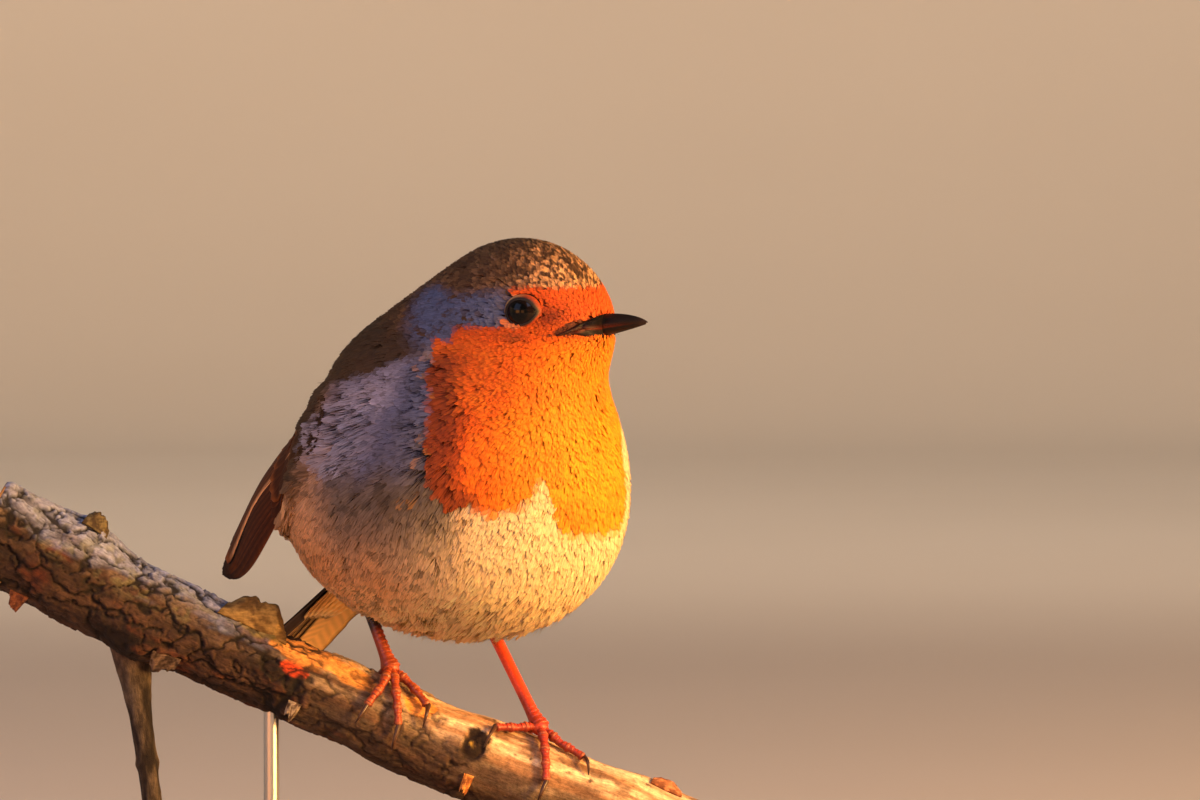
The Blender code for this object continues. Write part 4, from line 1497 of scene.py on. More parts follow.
@dataclass
class Eyes:
    """Two eyeballs deep in the head, each in a ring of lids with a pointed front corner."""

    body: BodyShape
    half_width: float = 2.62
    half_height: float = 2.15
    lid_width: float = 0.40
    lid_height: float = 0.24
    pupil: float = 1.7
    iris: float = 2.9

    def frame(self, side: Side) -> tuple[np.ndarray, np.ndarray]:
        """The eyeball's centre and its axes: forward, up and outward."""
        centre, outward = self.body.eye_frame(side)
        return centre, np.stack((self.body.head_axes()[0], np.array((0.0, 0.0, 1.0)), outward))

    def piece(
        self, title: str, side: Side, places: np.ndarray, triangles: np.ndarray, tones: np.ndarray
    ) -> bpy.types.Mesh:
        """A part of an eye; the right one is the left one mirrored, so its faces are turned."""
        turned = triangles if side is Side.LEFT else triangles[:, ::-1]
        return finished(f"{title}_{side.name.lower()}", Template(places, turned), tones)

    def eyeball(self, side: Side) -> bpy.types.Mesh:
        """A sphere with its pole at the pupil and a slightly bulging cornea.

        Args:
            side: Which side of the bird.

        Returns:
            The mesh.
        """
        centre, axes = self.frame(side)
        bm = bmesh.new()
        bmesh.ops.create_uvsphere(bm, u_segments=56, v_segments=44, radius=1.0)
        ball = Template.taken_from(bm)
        off_axis = np.hypot(ball.corners[:, 0], ball.corners[:, 1])
        front = ball.corners[:, 2] > 0.0
        bulge = 1.0 + 0.035 * ramp(0.75, 0.2, off_axis) * front
        turned = (ball.corners * bulge[:, None] * self.body.eye_radius) @ axes
        away = off_axis * self.body.eye_radius
        tone = mixed("030202", "140A06", ramp(self.pupil - 0.1, self.pupil + 0.15, away))
        tone = mixed(tone, "060403", ramp(self.iris - 0.4, self.iris, away) + (1 - front))
        return self.piece("eyeball", side, centre + turned, ball.triangles, tone)

    def lids(self, side: Side) -> bpy.types.Mesh:
        """A ring bent over the eyeball: a smooth dark rim, and outside it pale short feathering.

        Args:
            side: Which side of the bird.

        Returns:
            The mesh.
        """
        centre, axes = self.frame(side)
        bm = bmesh.new()
        section = bmesh.ops.create_circle(bm, segments=14, radius=0.2)["verts"]
        bmesh.ops.rotate(bm, verts=section, matrix=Matrix.Rotation(math.pi / 2.0, 3, "X"))
        bmesh.ops.translate(bm, verts=section, vec=(1.0, 0.0, 0.0))
        bmesh.ops.spin(
            bm, geom=bm.verts[:] + bm.edges[:], cent=(0.0, 0.0, 0.0), axis=(0.0, 0.0, 1.0),
            angle=math.tau, steps=96, use_merge=True,
        )
        bmesh.ops.recalc_face_normals(bm, faces=bm.faces)
        ring = Template.taken_from(bm)
        x, y, z = ring.corners.T
        turn = np.arctan2(y, x)
        across, high = (np.hypot(x, y) - 1.0) / 0.2, z / 0.2
        corner = np.exp(-((turn / 0.28) ** 2))  # the front corner is drawn out to a point
        wide = self.half_width * (1.0 + 0.10 * corner)
        rim = 1.0 / np.sqrt((np.cos(turn) / wide) ** 2 + (np.sin(turn) / self.half_height) ** 2)
        brow = 1.3 * np.maximum(np.cos(turn - 1.0), 0.0) ** 1.5  # wider over the front corner, and behind
        brow = self.lid_width * (brow + 0.9 * np.maximum(-np.cos(turn + 0.2), 0.0) ** 2)
        rim = rim + self.lid_width + brow * (1.0 + across) / 2.0 + self.lid_width * across
        fold = 1.0 + 0.06 * np.sin(turn * 46.0) * (across > 0.0)
        radius = self.body.eye_radius + 0.03 + self.lid_height * high * fold - 0.16 * ramp(0.2, 1.0, across)
        tilt = np.arcsin(np.clip(rim / self.body.eye_radius, -0.99, 0.99))
        local = np.stack((np.cos(turn) * np.sin(tilt), np.sin(turn) * np.sin(tilt), np.cos(tilt)), axis=1)
        places = centre + (local * radius[:, None]) @ axes
        behind = ramp(-0.5, 0.9, -np.cos(turn))
        pale = mixed("9A3A10", "F0C080", behind)
        tone = mixed("100A08", pale, ramp(-0.4, 0.3, across))
        return self.piece("lids", side, places, ring.triangles, tone)

    def dress(self, model: Model) -> None:
        """Adds both eyeballs and both rings of lids.

        Args:
            model: The model that takes the pieces.
        """
        wet, skin = EyeFinish().make(), SkinFinish().make()
        for side in Side:
            name = side.name.lower()
            model.add(self.eyeball(side), wet, "eye", (f"eye_{name}",))
            model.add(self.lids(side), skin, "plumage_head")


@dataclass(frozen=True)
class HornFinish:
    """Horn: smooth and dense, with a soft low light and faint growth lines."""

    name: str
    roughness: float
    line: float  # millimetres between growth lines
    gloss: float = 0.5

    def make(self) -> bpy.types.Material:
        """Makes the material; its colours are the piece's own.

        Returns:
            The material.
        """
        made, tree, shader = started(
            self.name, Roughness=self.roughness, IOR=1.5, Specular_IOR_Level=self.gloss,
        )
        place = add_node(tree, "ShaderNodeTexCoord")
        grain = add_node(
            tree, "ShaderNodeTexNoise",
            {"Vector": place.outputs["Object"], "Scale": 1.0 / (self.line * MM), "Detail": 4.0},
        )
        figured(tree, shader, grain.outputs["Fac"], (0.3, 0.7, 0.8, 1.2), (0.25, 0.00003))
        return made


@dataclass
class Bill:
    """The slim dark bill, its two halves spreading back into the corners of the mouth."""

    body: BodyShape
    gape: float = 11.8  # forward place of the corner of the mouth
    base: float = 16.0  # forward place where the bill leaves the feathers
    tip: float = 25.3
    half_width: float = 2.6
    upper_depth: float = 2.15
    lower_depth: float = 1.4
    line_base: float = -0.75
    line_tip: float = 0.6
    gape_height: float = -2.1
    bristles: int = 6

    def profile(self, forward: np.ndarray) -> tuple[np.ndarray, np.ndarray, np.ndarray]:
        """The tomium's height and the two halves' depths at each forward place.

        Args:
            forward: Millimetres forward in the head.

        Returns:
            The height, the upper half's depth and the lower half's.
        """
        out, back = self.shares(forward)
        level = self.line_base + (self.line_tip - self.line_base) * out - 0.35 * out**4
        level = level + (self.gape_height - self.line_base) * back
        shape = np.maximum(1.0 - out**1.8, 0.0) ** 0.8 * (1.0 - back) ** 0.9
        return level, self.upper_depth * shape, self.lower_depth * shape

    def bare(self, forward: np.ndarray, up: np.ndarray) -> np.ndarray:
        """Whether a place on the face is on the bare wedge that runs back to the corner of the mouth.

        Args:
            forward: Millimetres forward in the head.
            up: Millimetres up in the head.

        Returns:
            True where it is bare.
        """
        level, above, below = self.profile(forward)
        inside = (up < level + above * 0.75 + 0.1) & (up > level - below * 0.75 - 0.1)
        return inside & (forward > 14.3)

    def cheek(self, forward: np.ndarray) -> np.ndarray:
        """How wide the face is at each forward place behind the bill's base.

        Args:
            forward: Millimetres forward in the head.

        Returns:
            Half the width in millimetres.
        """
        ways = np.repeat(self.body.head_axes()[1][None], len(forward), axis=0)
        starts = np.stack([self.body.head_point(f, 0.0, -1.8) for f in np.minimum(forward, 15.4)])
        reached = self.body.out_from(starts, ways)
        return np.linalg.norm(reached - starts, axis=1)

    def shares(self, forward: np.ndarray) -> tuple[np.ndarray, np.ndarray]:
        """How far out toward the tip, and how far back toward the gape, each forward place is."""
        out = np.clip((forward - self.base) / (self.tip - self.base), 0.0, 1.0)
        return out, np.clip((self.base - forward) / (self.base - self.gape), 0.0, 1.0)

    def half(self, up: float) -> tuple[Template, tuple[np.ndarray, ...]]:
        """One half of the bill.

        Args:
            up: 1 for the upper half and -1 for the lower.

        Returns:
            The shape, and for each corner its shares out and back, its distance from the nostril
            and how far it is turned from the side.
        """
        table = np.linspace(self.gape, self.tip, 60)
        cheek = self.cheek(table)

        def place(share: np.ndarray, angle: np.ndarray) -> tuple:
            """Each corner's place in the head.

            Args:
                share: The share along, from 0 to 1.
                angle: The angle round it in radians.

            Returns:
                The corners and the facts.
            """
            length = self.tip - self.gape - (0.35 if up < 0.0 else 0.0)
            forward = self.gape + length * share
            out, back = self.shares(forward)
            slim = self.half_width * np.maximum(1.0 - out, 0.0) ** 0.85 * (1.0 - 0.22 * out) + 0.1
            hugging = np.maximum(np.interp(forward, table, cheek) + 0.12, slim)
            width = np.where(back > 0.0, hugging, slim)
            level, above, below = self.profile(forward)
            depth = (above if up > 0.0 else below) + 0.16
            sine, turned = np.sin(angle), np.abs(np.sin(angle))
            rise = turned ** (1.0 - 0.45 * ramp(0.0, 0.3, back))
            tuck = 0.04 if up > 0.0 else 0.10
            lift = np.where(sine >= 0.0, depth * rise * up, -up * tuck * rise)
            sideways = np.cos(angle) * width * (1.0 if up > 0.0 else 0.93)
            ridge = 0.16 * up * np.exp(-((np.cos(angle) / 0.25) ** 2)) * (sine > 0.0) * (1.0 - out)
            slit = np.hypot((forward - 17.6) / 0.95, (sine - 0.50) / 0.16)
            sink = 0.32 * np.exp(-(slit**2)) if up > 0.0 else 0.0
            high = level + lift + ridge * (1.0 - back)
            local = np.stack((forward, sideways * (1.0 - sink * 0.5), high), axis=1)
            points = np.array(self.body.head_centre) + local @ self.body.head_axes()
            # Behind the base the horn hugs the face, a hair's breadth proud of it.
            proud = 0.22 - 0.75 * turned**3 - 0.5 * ramp(0.25, 0.6, back)
            settled = self.body.settle(points, np.maximum(self.body.depth(points), proud), 3)
            at_base = ramp(self.base + 0.6, self.base - 0.2, forward)
            return mixed(points, settled, at_base), (out, back, slit, turned)

        return bent_rod(place, 44, 90)

    def dress(self, model: Model) -> None:
        """Adds both halves and the short bristles at the corners of the mouth.

        Args:
            model: The model that takes the pieces.
        """
        horn = HornFinish("bill_keratin_polished", 0.5, 0.5, 0.16).make()
        for name, up in (("upper", 1.0), ("lower", -1.0)):
            shape, (out, back, slit, turned) = self.half(up)
            tone = mixed("140E0D", "2A1E1A", ramp(0.7, 1.0, out))
            reddish = ramp(0.3, 0.0, turned) * ramp(0.9, 0.1, out) * (0.35 if up > 0.0 else 0.9)
            tone = mixed(tone, "5A1C0C", reddish)
            tone = mixed(tone, "260C06", 0.9 * ramp(0.1, 0.8, back))
            if up > 0.0:
                # Painted shade: the nostril's slit is drawn near black.
                tone = mixed(tone, "050403", np.exp(-(slit**2)))
            model.add(finished(f"bill_{name}", shape, tone), horn, "bill", (f"bill_{name}",))
        hairs = [self.bristle(side, number) for side in Side for number in range(self.bristles)]
        shape = Template.joined(hairs)
        mesh = finished("bristles", shape, np.tile(linear("1A100C"), (len(shape.corners), 1)))
        model.add(mesh, HornFinish("bristle_keratin", 0.4, 0.3).make(), "bill")

    def bristle(self, side: Side, number: int) -> Template:
        """A fine stiff hair that starts over the corner of the mouth and points forward and down.

        Args:
            side: Which side of the bird.
            number: Which hair it is, counted forward.

        Returns:
            The hair.
        """
        share = number / (self.bristles - 1)
        forward, up = self.gape + 0.8 + 3.2 * share, -1.5 + 2.3 * share
        start = self.body.head_point(forward, 0.0, up)
        outward = self.body.head_axes()[1] * side.value
        root = self.body.out_from(start[None], outward[None])[0] - outward * 0.3
        lean = self.body.head_axes()[0] * 2.4 + outward * (0.25 + 0.2 * share) - np.array((0.0, 0.0, 0.9))
        stations = (root, root + lean * 0.5 + outward * 0.25, root + lean * (1.0 - 0.3 * share))
        return tube(stations, lambda along, angle: (0.05 * (1.0 - along) + 0.012, ()), 5, 8)[0]


# ---------------------------------------------------------------- wings and tail
@dataclass(frozen=True)
class VaneFinish:
    """Firm keratin vanes: satin, with fine slanting barbs that catch the light as lines."""

    name: str = "feather_keratin_vane"
    barb: float = 0.42  # millimetres between barbs, drawn twice as coarse as real so that they show
    slant: float = 1.1
    cloud: float = 1.0 / 0.7  # millimetres across a cloudy patch

    def make(self) -> bpy.types.Material:
        """Makes the material; barbs follow the vane's own map, which is in units of 100 mm.

        Returns:
            The material.
        """
        made, tree, shader = started(self.name, Roughness=0.7, IOR=1.33, Specular_IOR_Level=0.3)
        spot = add_node(tree, "ShaderNodeUVMap", uv_map="Vane")
        apart = add_node(tree, "ShaderNodeSeparateXYZ", {"Vector": spot.outputs["UV"]})
        off = add_node(tree, "ShaderNodeMath", {0: apart.outputs["Y"]}, operation="ABSOLUTE")
        lean = add_node(
            tree, "ShaderNodeMath", {0: off.outputs[0], 1: -self.slant, 2: apart.outputs["X"]},
            operation="MULTIPLY_ADD",
        )
        line = add_node(tree, "ShaderNodeCombineXYZ", {"X": lean.outputs[0]})
        # A wave repeats every 1/20 of a unit of scale, and the map is in units of 100 mm.
        wave = add_node(
            tree, "ShaderNodeTexWave",
            {"Vector": line.outputs["Vector"], "Scale": 100.0 / (20.0 * self.barb), "Distortion": 0.6,
             "Detail": 1.0},
        )
        place = add_node(tree, "ShaderNodeTexCoord")
        cloud = add_node(
            tree, "ShaderNodeTexNoise",
            {"Vector": place.outputs["Object"], "Scale": 1.0 / (self.cloud * MM), "Detail": 3.0},
        )
        both = add_node(tree, "ShaderNodeMath", {0: wave.outputs["Fac"], 1: cloud.outputs["Fac"]})
        figured(tree, shader, both.outputs[0], (0.3, 1.6, 0.86, 1.12), (0.3, 0.00005))
        return made


@dataclass
class WingSurface:
    """The folded wing's underside, the same sheet that its solids lie on."""

    body: BodyShape
    side: Side
    lower_edge: tuple = (
        (26.5, 7.0, 98.5), (27.0, 15.0, 92.0), (25.5, 25.0, 82.0), (23.0, 35.0, 75.0), (20.0, 47.0, 71.5),
    )
    ridge: tuple = (
        (25.5, 7.5, 104.0), (24.5, 18.0, 99.5), (22.5, 31.0, 91.0), (20.5, 41.5, 80.5), (20.0, 47.5, 73.0),
    )
    upper_edge: tuple = (
        (21.5, 8.5, 109.0), (16.0, 20.0, 105.5), (12.5, 31.0, 97.5), (15.5, 41.5, 85.0), (19.0, 48.0, 75.0),
    )
    clearance: float = 0.5
    rows: int = 81
    columns: int = 25
    grid: np.ndarray = field(init=False)
    facing: np.ndarray = field(init=False)

    def __post_init__(self) -> None:
        """Works the sheet out on a grid and pushes it clear of the body."""
        share, across = np.meshgrid(
            np.linspace(0.0, 1.0, self.rows), np.linspace(0.0, 1.0, self.columns), indexing="ij"
        )
        share, across = share.ravel(), across.ravel()[:, None]
        lower, ridge, upper = (rail(edge, share) for edge in (self.lower_edge, self.ridge, self.upper_edge))
        bow = 4.0 * across * (1.0 - across)
        places = lower + (upper - lower) * across + (ridge - (lower + upper) / 2.0) * bow
        for _ in range(10):
            depth, growth = self.body.slope(places)
            short = np.maximum(self.clearance - depth, 0.0) / np.sum(growth**2, axis=1)
            places = places + growth * short[:, None]
        places[:, 0] *= self.side.value
        self.grid = places.reshape(self.rows, self.columns, 3)
        normal = np.cross(np.gradient(self.grid, axis=0), np.gradient(self.grid, axis=1))
        outward = np.sign(normal[..., :1]) * self.side.value
        self.facing = unit(normal * np.where(outward == 0.0, 1.0, outward))

    def width(self, share: np.ndarray) -> np.ndarray:
        """The wing's width across at each share of its length."""
        steps = np.linalg.norm(np.diff(self.grid, axis=1), axis=2).sum(axis=1)
        return np.interp(share, np.linspace(0.0, 1.0, self.rows), steps)

    def length(self) -> float:
        """The wing's length along its middle."""
        middle = self.grid[:, self.columns // 2]
        return float(np.linalg.norm(np.diff(middle, axis=0), axis=1).sum())

    def at(self, share: np.ndarray, across: np.ndarray, lift: np.ndarray) -> np.ndarray:
        """Places over the sheet.

        Args:
            share: Shares of the wing's length.
            across: Shares of its width, from the lower to the upper edge.
            lift: Millimetres above the sheet.

        Returns:
            One place for each.
        """
        spots = []
        for values, count in ((share, self.rows), (across, self.columns)):
            scaled = np.clip(values, 0.0, 1.0) * (count - 1)
            index = np.minimum(scaled.astype(int), count - 2)
            spots.append((index, (scaled - index)[..., None]))
        (i, p), (j, q) = spots
        place, normal = (
            (layer[i, j] * (1 - q) + layer[i, j + 1] * q) * (1 - p)
            + (layer[i + 1, j] * (1 - q) + layer[i + 1, j + 1] * q) * p
            for layer in (self.grid, self.facing)
        )
        return place + unit(normal) * np.asarray(lift)[..., None]


@dataclass
class Cover:
    """How far the folded wings stand off the body, so that plumage lies over their edges."""

    body: BodyShape
    sheets: Sequence[WingSurface]
    stack: float = 1.15
    tree: KDTree = field(init=False)
    tops: np.ndarray = field(init=False)

    def __post_init__(self) -> None:
        """Drops each wing's sheet onto the body."""
        grid = np.vstack([sheet.grid.reshape(-1, 3) for sheet in self.sheets])
        feet = self.body.settle(grid, np.zeros(len(grid)), 4)
        share = np.concatenate([np.repeat(np.linspace(0, 1, s.rows), s.columns) for s in self.sheets])
        self.tops = self.body.depth(grid) + self.stack * (0.25 + 0.75 * ramp(0.0, 0.25, share))
        self.tree = KDTree(len(feet))
        for number, foot in enumerate(feet):
            self.tree.insert(foot, number)
        self.tree.balance()

    def nearest(self, points: np.ndarray) -> tuple[np.ndarray, np.ndarray]:
        """How far each point is from a wing along the body, and how high the wing stands there.

        Args:
            points: Places in millimetres, one a row.

        Returns:
            The distances and the heights in millimetres.
        """
        feet = self.body.settle(points, np.zeros(len(points)), 1)
        found = [self.tree.find(foot)[1:] for foot in feet]
        return np.array([far for _, far in found]), self.tops[[number for number, _ in found]]

    def share(self, points: np.ndarray) -> np.ndarray:
        """How much each point is under a wing, from 0 to 1."""
        return ramp(0.9, 0.2, self.nearest(points)[0])

    def height(self, points: np.ndarray) -> np.ndarray:
        """How high feathers must lie there to pass over a wing."""
        far, top = self.nearest(points)
        return top * ramp(3.6, 0.6, far) * ramp(4.4, 3.0, top)


@dataclass(frozen=True)
class TailSurface:
    """The closed tail's underside, the same sheet that its solid lies on."""

    root: tuple[float, float, float] = (0.0, 16.5, 81.8)
    full_length: float = 54.5
    drop: float = 33.0
    root_width: float = 6.5
    tip_width: float = 16.5
    arch: float = 1.2

    def width(self, share: np.ndarray) -> np.ndarray:
        """The tail's width at each share of its length."""
        spread = np.clip(share, 0.0, 1.0) ** 0.8
        return self.root_width + (self.tip_width - self.root_width) * spread

    def length(self) -> float:
        """The tail's length."""
        return self.full_length

    def at(self, share: np.ndarray, across: np.ndarray, lift: np.ndarray) -> np.ndarray:
        """Places over the sheet, as on the wing.

        Args:
            share: The share along, from 0 to 1.
            across: The share across the sheet, from 0 to 1.
            lift: Millimetres above it.

        Returns:
            The places.
        """
        turn = math.radians(self.drop)
        back = np.array((0.0, math.cos(turn), -math.sin(turn)))
        above = np.array((0.0, math.sin(turn), math.cos(turn)))
        arched = self.arch * (1.0 - (2.0 * across - 1.0) ** 2)
        sideways = (across - 0.5) * self.width(share)
        place = np.array(self.root) + back * (share * self.full_length)[..., None]
        place = place + above * (arched + lift)[..., None]
        return place + np.array((1.0, 0.0, 0.0)) * sideways[..., None]


@dataclass(frozen=True)
class VaneRow:
    """A row of like feathers, from its first to its last, on the sheet of a wing or tail."""

    count: int
    roots: tuple[float, float, float, float]  # share and across of the first, then of the last
    tips: tuple[float, float, float, float]
    half_width: float
    lift: tuple[float, float]
    vane: str
    edge: str
    tip: str
    point: float = 0.8  # where along its length a feather starts to round off
    tip_bow: float = 0.0  # how much shorter the row's outer feathers are
    raise_tip: float = 0.0
    thickness: float = 0.13
    under: str = ""  # the underside's colour, where it differs; on the tail the bright orange is painted sunlight, the dark one painted shade


@dataclass
class Vanes:
    """Builds rows of vaned feathers on a wing's or the tail's surface."""

    surface: WingSurface | TailSurface
    steps: tuple[int, int] = (26, 10)
    grain: Grain = Grain(51)

    def lay(self, row: VaneRow, flip: bool, seed: int) -> tuple[Template, np.ndarray, np.ndarray]:
        """One row of feathers.

        Args:
            row: The row's sizes and colours.
            flip: Whether the sheet's across runs the other way round, which turns faces inside out.
            seed: Sets each feather's own unevenness.

        Returns:
            The row's shape, its colours and its map.
        """
        blank, rng = sheet(*self.steps), np.random.default_rng(seed)
        u = blank.corners[:, 0] + 0.5
        v = 2.0 * blank.corners[:, 1]
        v = np.sign(v) * np.abs(v) ** 1.35
        outer = blank.corners[:, 2] > 0.5 * blank.corners[:, 2].max()
        parts, tones, spots = [], [], []
        for number in range(row.count):
            part = number / max(row.count - 1, 1)
            s0, a0 = (row.roots[i] + (row.roots[i + 2] - row.roots[i]) * part for i in range(2))
            s1, a1 = (row.tips[i] + (row.tips[i + 2] - row.tips[i]) * part for i in range(2))
            s1 = s1 - row.tip_bow * (2.0 * part - 1.0) ** 2 + rng.uniform(-0.006, 0.006)
            a1 = a1 + rng.uniform(-0.01, 0.01)
            share = s0 + (s1 - s0) * u
            past = np.maximum(u - row.point, 0.0) / (1.0 - row.point)
            round_off = np.sqrt(np.clip(1.0 - past**2, 0.0, 1.0))
            narrow = np.clip(u / 0.12, 0.12, 1.0) ** 0.6
            place = np.stack((u * 30.0 + number * 7.0, np.sign(v) * 3.0, np.zeros_like(u)), axis=1)
            frayed = 1.0 + 0.07 * self.grain.layers(place, 1.6, 2) * np.abs(v)
            half = np.maximum(row.half_width * round_off * narrow * frayed, 0.03)
            across = a0 + (a1 - a0) * u**1.15 + v * half / self.surface.width(share)
            camber = -0.14 * v**2 * row.half_width / 2.5
            shaft = 0.09 * np.exp(-((v / 0.05) ** 2)) * (1.0 - 0.7 * u)
            lift = row.lift[0] + (row.lift[1] - row.lift[0]) * part + row.raise_tip * u**2
            lift = lift + camber + shaft + outer * row.thickness
            places = self.surface.at(share, across, lift)
            parts.append(Template(places, blank.triangles[:, ::-1] if flip else blank.triangles))
            tone = mixed(row.vane, linear(row.vane) * 0.62, ramp(0.15, -0.5, v) * 0.9)
            tone = mixed(tone, row.edge, ramp(0.62, 0.95, -v if flip else v))
            tone = mixed(tone, linear(row.edge) * 0.8, 0.5 * ramp(0.75, 1.0, np.abs(v)))
            tone = mixed(tone, linear(row.vane) * 0.35, np.exp(-((v / 0.045) ** 2)))
            tone = mixed(tone, row.tip, ramp(0.86, 0.97, u + 0.04 * v**2))
            if row.under:
                tone = mixed(tone, row.under, 0.95 * ramp(0.98, 0.86, np.abs(v)) * (~outer))
            tones.append(tone * rng.uniform(0.86, 1.14))
            long = abs(s1 - s0) * self.surface.length()
            spots.append(np.stack((u * long, v * half), axis=1) / 100.0)
        return Template.joined(parts), np.vstack(tones), np.vstack(spots)

    def piece(self, name: str, rows: Sequence[VaneRow], flip: bool, seed: int) -> bpy.types.Mesh:
        """Several rows as one mesh.

        Args:
            name: The mesh's name.
            rows: The rows, lowest first.
            flip: Whether faces are turned.
            seed: Sets the feathers' unevenness.

        Returns:
            The painted mesh with its map.
        """
        laid = [self.lay(row, flip, seed + number) for number, row in enumerate(rows)]
        parts, tones, spots = zip(*laid)
        return finished(name, Template.joined(parts), np.vstack(tones), Vane=np.vstack(spots))


PRIMARIES = (
    VaneRow(8, (0.27, 0.05, 0.30, 0.36), (0.955, 0.16, 0.93, 0.60), 2.3, (0.05, 0.5),
            "4E2410", "7A3E1C", "2A1006", point=0.72, tip_bow=0.05),
)
SECONDARIES = (
    # The first row is a near-black feather as a painted shadow beside the pale line; the next row's bright
    # edge is partly its own pale fringe, partly painted sunlight.
    VaneRow(1, (0.24, 0.385, 0.24, 0.385), (0.86, 0.47, 0.86, 0.47), 2.8, (0.46, 0.46),
            "140A06", "140A06", "140A06", point=0.86),
    VaneRow(1, (0.22, 0.44, 0.22, 0.44), (0.87, 0.50, 0.87, 0.50), 2.8, (0.62, 0.62),
            "5C3018", "FFC088", "8A4A24", point=0.88),
    VaneRow(5, (0.26, 0.50, 0.26, 0.80), (0.80, 0.56, 0.72, 0.78), 2.7, (0.7, 0.84),
            "5C3018", "96582E", "4A2410", point=0.84),
    VaneRow(3, (0.22, 0.80, 0.22, 0.97), (0.70, 0.74, 0.54, 0.94), 3.3, (0.86, 1.05),
            "64381C", "9A6032", "64381C", point=0.78),
)
COVERTS = (
    VaneRow(5, (0.12, 0.03, 0.14, 0.24), (0.42, 0.06, 0.38, 0.26), 1.5, (0.2, 0.35),
            "3E1C0C", "7A4420", "3E1C0C", point=0.7, raise_tip=0.3),
    VaneRow(9, (0.12, 0.14, 0.12, 0.94), (0.385, 0.14, 0.34, 0.92), 2.3, (0.3, 0.45),
            "482410", "7A4420", "7A4420", point=0.66, raise_tip=0.6),
    VaneRow(9, (0.04, 0.08, 0.04, 0.92), (0.24, 0.08, 0.22, 0.92), 2.3, (0.15, 0.25),
            "4A2E18", "6A4628", "5A3A20", point=0.55, raise_tip=0.65),
    VaneRow(9, (0.0, 0.06, 0.0, 0.92), (0.15, 0.06, 0.15, 0.92), 2.2, (0.1, 0.15),
            "4A3420", "60462C", "543C26", point=0.5, raise_tip=0.6),
)
TAIL = (
    # Painted light and shade: the bright orange undersides stand in for sunlight on the tail, and the
    # outermost feathers are darker on top as painted shade, the first one underneath as well.
    VaneRow(1, (0.02, 0.16, 0.02, 0.16), (0.985, 0.12, 0.985, 0.12), 3.4, (0.1, 0.1),
            "3A2415", "2A180E", "3A2415", point=0.86, under="3A2415"),
    VaneRow(5, (0.02, 0.22, 0.02, 0.46), (0.985, 0.19, 0.99, 0.47), 3.4, (0.3, 1.1),
            "4E3624", "2A180E", "4E3624", point=0.86, under="FFC070"),
    VaneRow(5, (0.02, 0.78, 0.02, 0.54), (0.985, 0.81, 0.99, 0.53), 3.4, (0.36, 1.16),
            "4E3624", "2A180E", "4E3624", point=0.86, under="FFC070"),
    VaneRow(1, (0.02, 0.84, 0.02, 0.84), (0.985, 0.88, 0.985, 0.88), 3.4, (0.16, 0.16),
            "3A2415", "2A180E", "3A2415", point=0.86, under="FFC070"),
)
TAIL_COVERTS = (
    # The two lower rows are the undertail coverts: their buff is their own, their bright orange partly
    # painted sunlight.
    VaneRow(5, (0.10, 0.30, 0.10, 0.80), (0.60, 0.38, 0.60, 0.74), 2.6, (-0.35, -0.3),
            "FFB058", "FFC478", "FFCC88", point=0.6, raise_tip=0.2),
    VaneRow(5, (0.02, 0.20, 0.02, 0.85), (0.40, 0.22, 0.40, 0.82), 2.8, (-0.75, -0.7),
            "F0A850", "F8C078", "FFCC88", point=0.5, raise_tip=0.3),
    VaneRow(5, (0.04, 0.12, 0.04, 0.88), (0.34, 0.15, 0.34, 0.85), 2.7, (1.75, 1.8),
            "5E4428", "7A5A38", "6A4E30", point=0.55),
    VaneRow(5, (0.02, 0.12, 0.02, 0.88), (0.24, 0.15, 0.24, 0.85), 2.7, (2.05, 2.1),
            "5E4428", "7A5A38", "6A4E30", point=0.55),
)


@dataclass
class FlightFeathers:
    """Both folded wings and the closed tail, feather by feather."""

    wings: dict[Side, WingSurface]
    tail: TailSurface

    def dress(self, model: Model) -> None:
        """Adds the wings' three groups on each side, the tail and its coverts.

        Args:
            model: The model that takes the pieces.
        """
        finish = VaneFinish().make()
        groups = (("coverts", COVERTS), ("secondaries", SECONDARIES), ("primaries", PRIMARIES))
        for side, surface in self.wings.items():
            for number, (name, rows) in enumerate(groups):
                full = f"wing_{side.name.lower()}_{name}"
                mesh = Vanes(surface).piece(full, rows, side is Side.RIGHT, 10 * number)
                model.add(mesh, finish, "plumage_wing", (full,))
        mesh = Vanes(self.tail, (34, 10)).piece("tail", TAIL, False, 70)
        model.add(mesh, finish, "plumage_wing", ("tail",))
        mesh = Vanes(self.tail, (16, 10)).piece("tail_coverts", TAIL_COVERTS, False, 80)
        model.add(mesh, finish, "plumage_flank")


# ---------------------------------------------------------------- perch
@dataclass(frozen=True)
class BarkFinish:
    """Old weathered bark: rough and dry, with fine cracks that stay dark and no gloss at all."""

    name: str = "bark_weathered"
    flake: float = 1.1  # millimetres across a flake
    fibre: float = 0.35  # millimetres across a fibre

    def make(self) -> bpy.types.Material:
        """Makes the material; its large colours are the piece's own.

        Returns:
            The material.
        """
        made, tree, shader = started(self.name, Roughness=0.88, IOR=1.4)
        spot = add_node(tree, "ShaderNodeUVMap", uv_map="Bark")
        long = add_node(tree, "ShaderNodeMapping", {"Vector": spot.outputs["UV"], "Scale": (0.22, 1.0, 1.0)})
        # The map is in units of 10 mm.
        fibres = add_node(
            tree, "ShaderNodeTexNoise",
            {"Vector": long.outputs["Vector"], "Scale": 10.0 / self.fibre, "Detail": 5.0, "Roughness": 0.65},
        )
        place = add_node(tree, "ShaderNodeTexCoord")
        flakes = add_node(
            tree, "ShaderNodeTexNoise",
            {"Vector": place.outputs["Object"], "Scale": 1.0 / (self.flake * MM), "Detail": 6.0,
             "Roughness": 0.7},
        )
        both = add_node(tree, "ShaderNodeMath", {0: fibres.outputs["Fac"], 1: flakes.outputs["Fac"]})
        figured(tree, shader, both.outputs[0], (0.75, 1.25, 0.5, 1.4), (0.8, 0.0003))
        return made


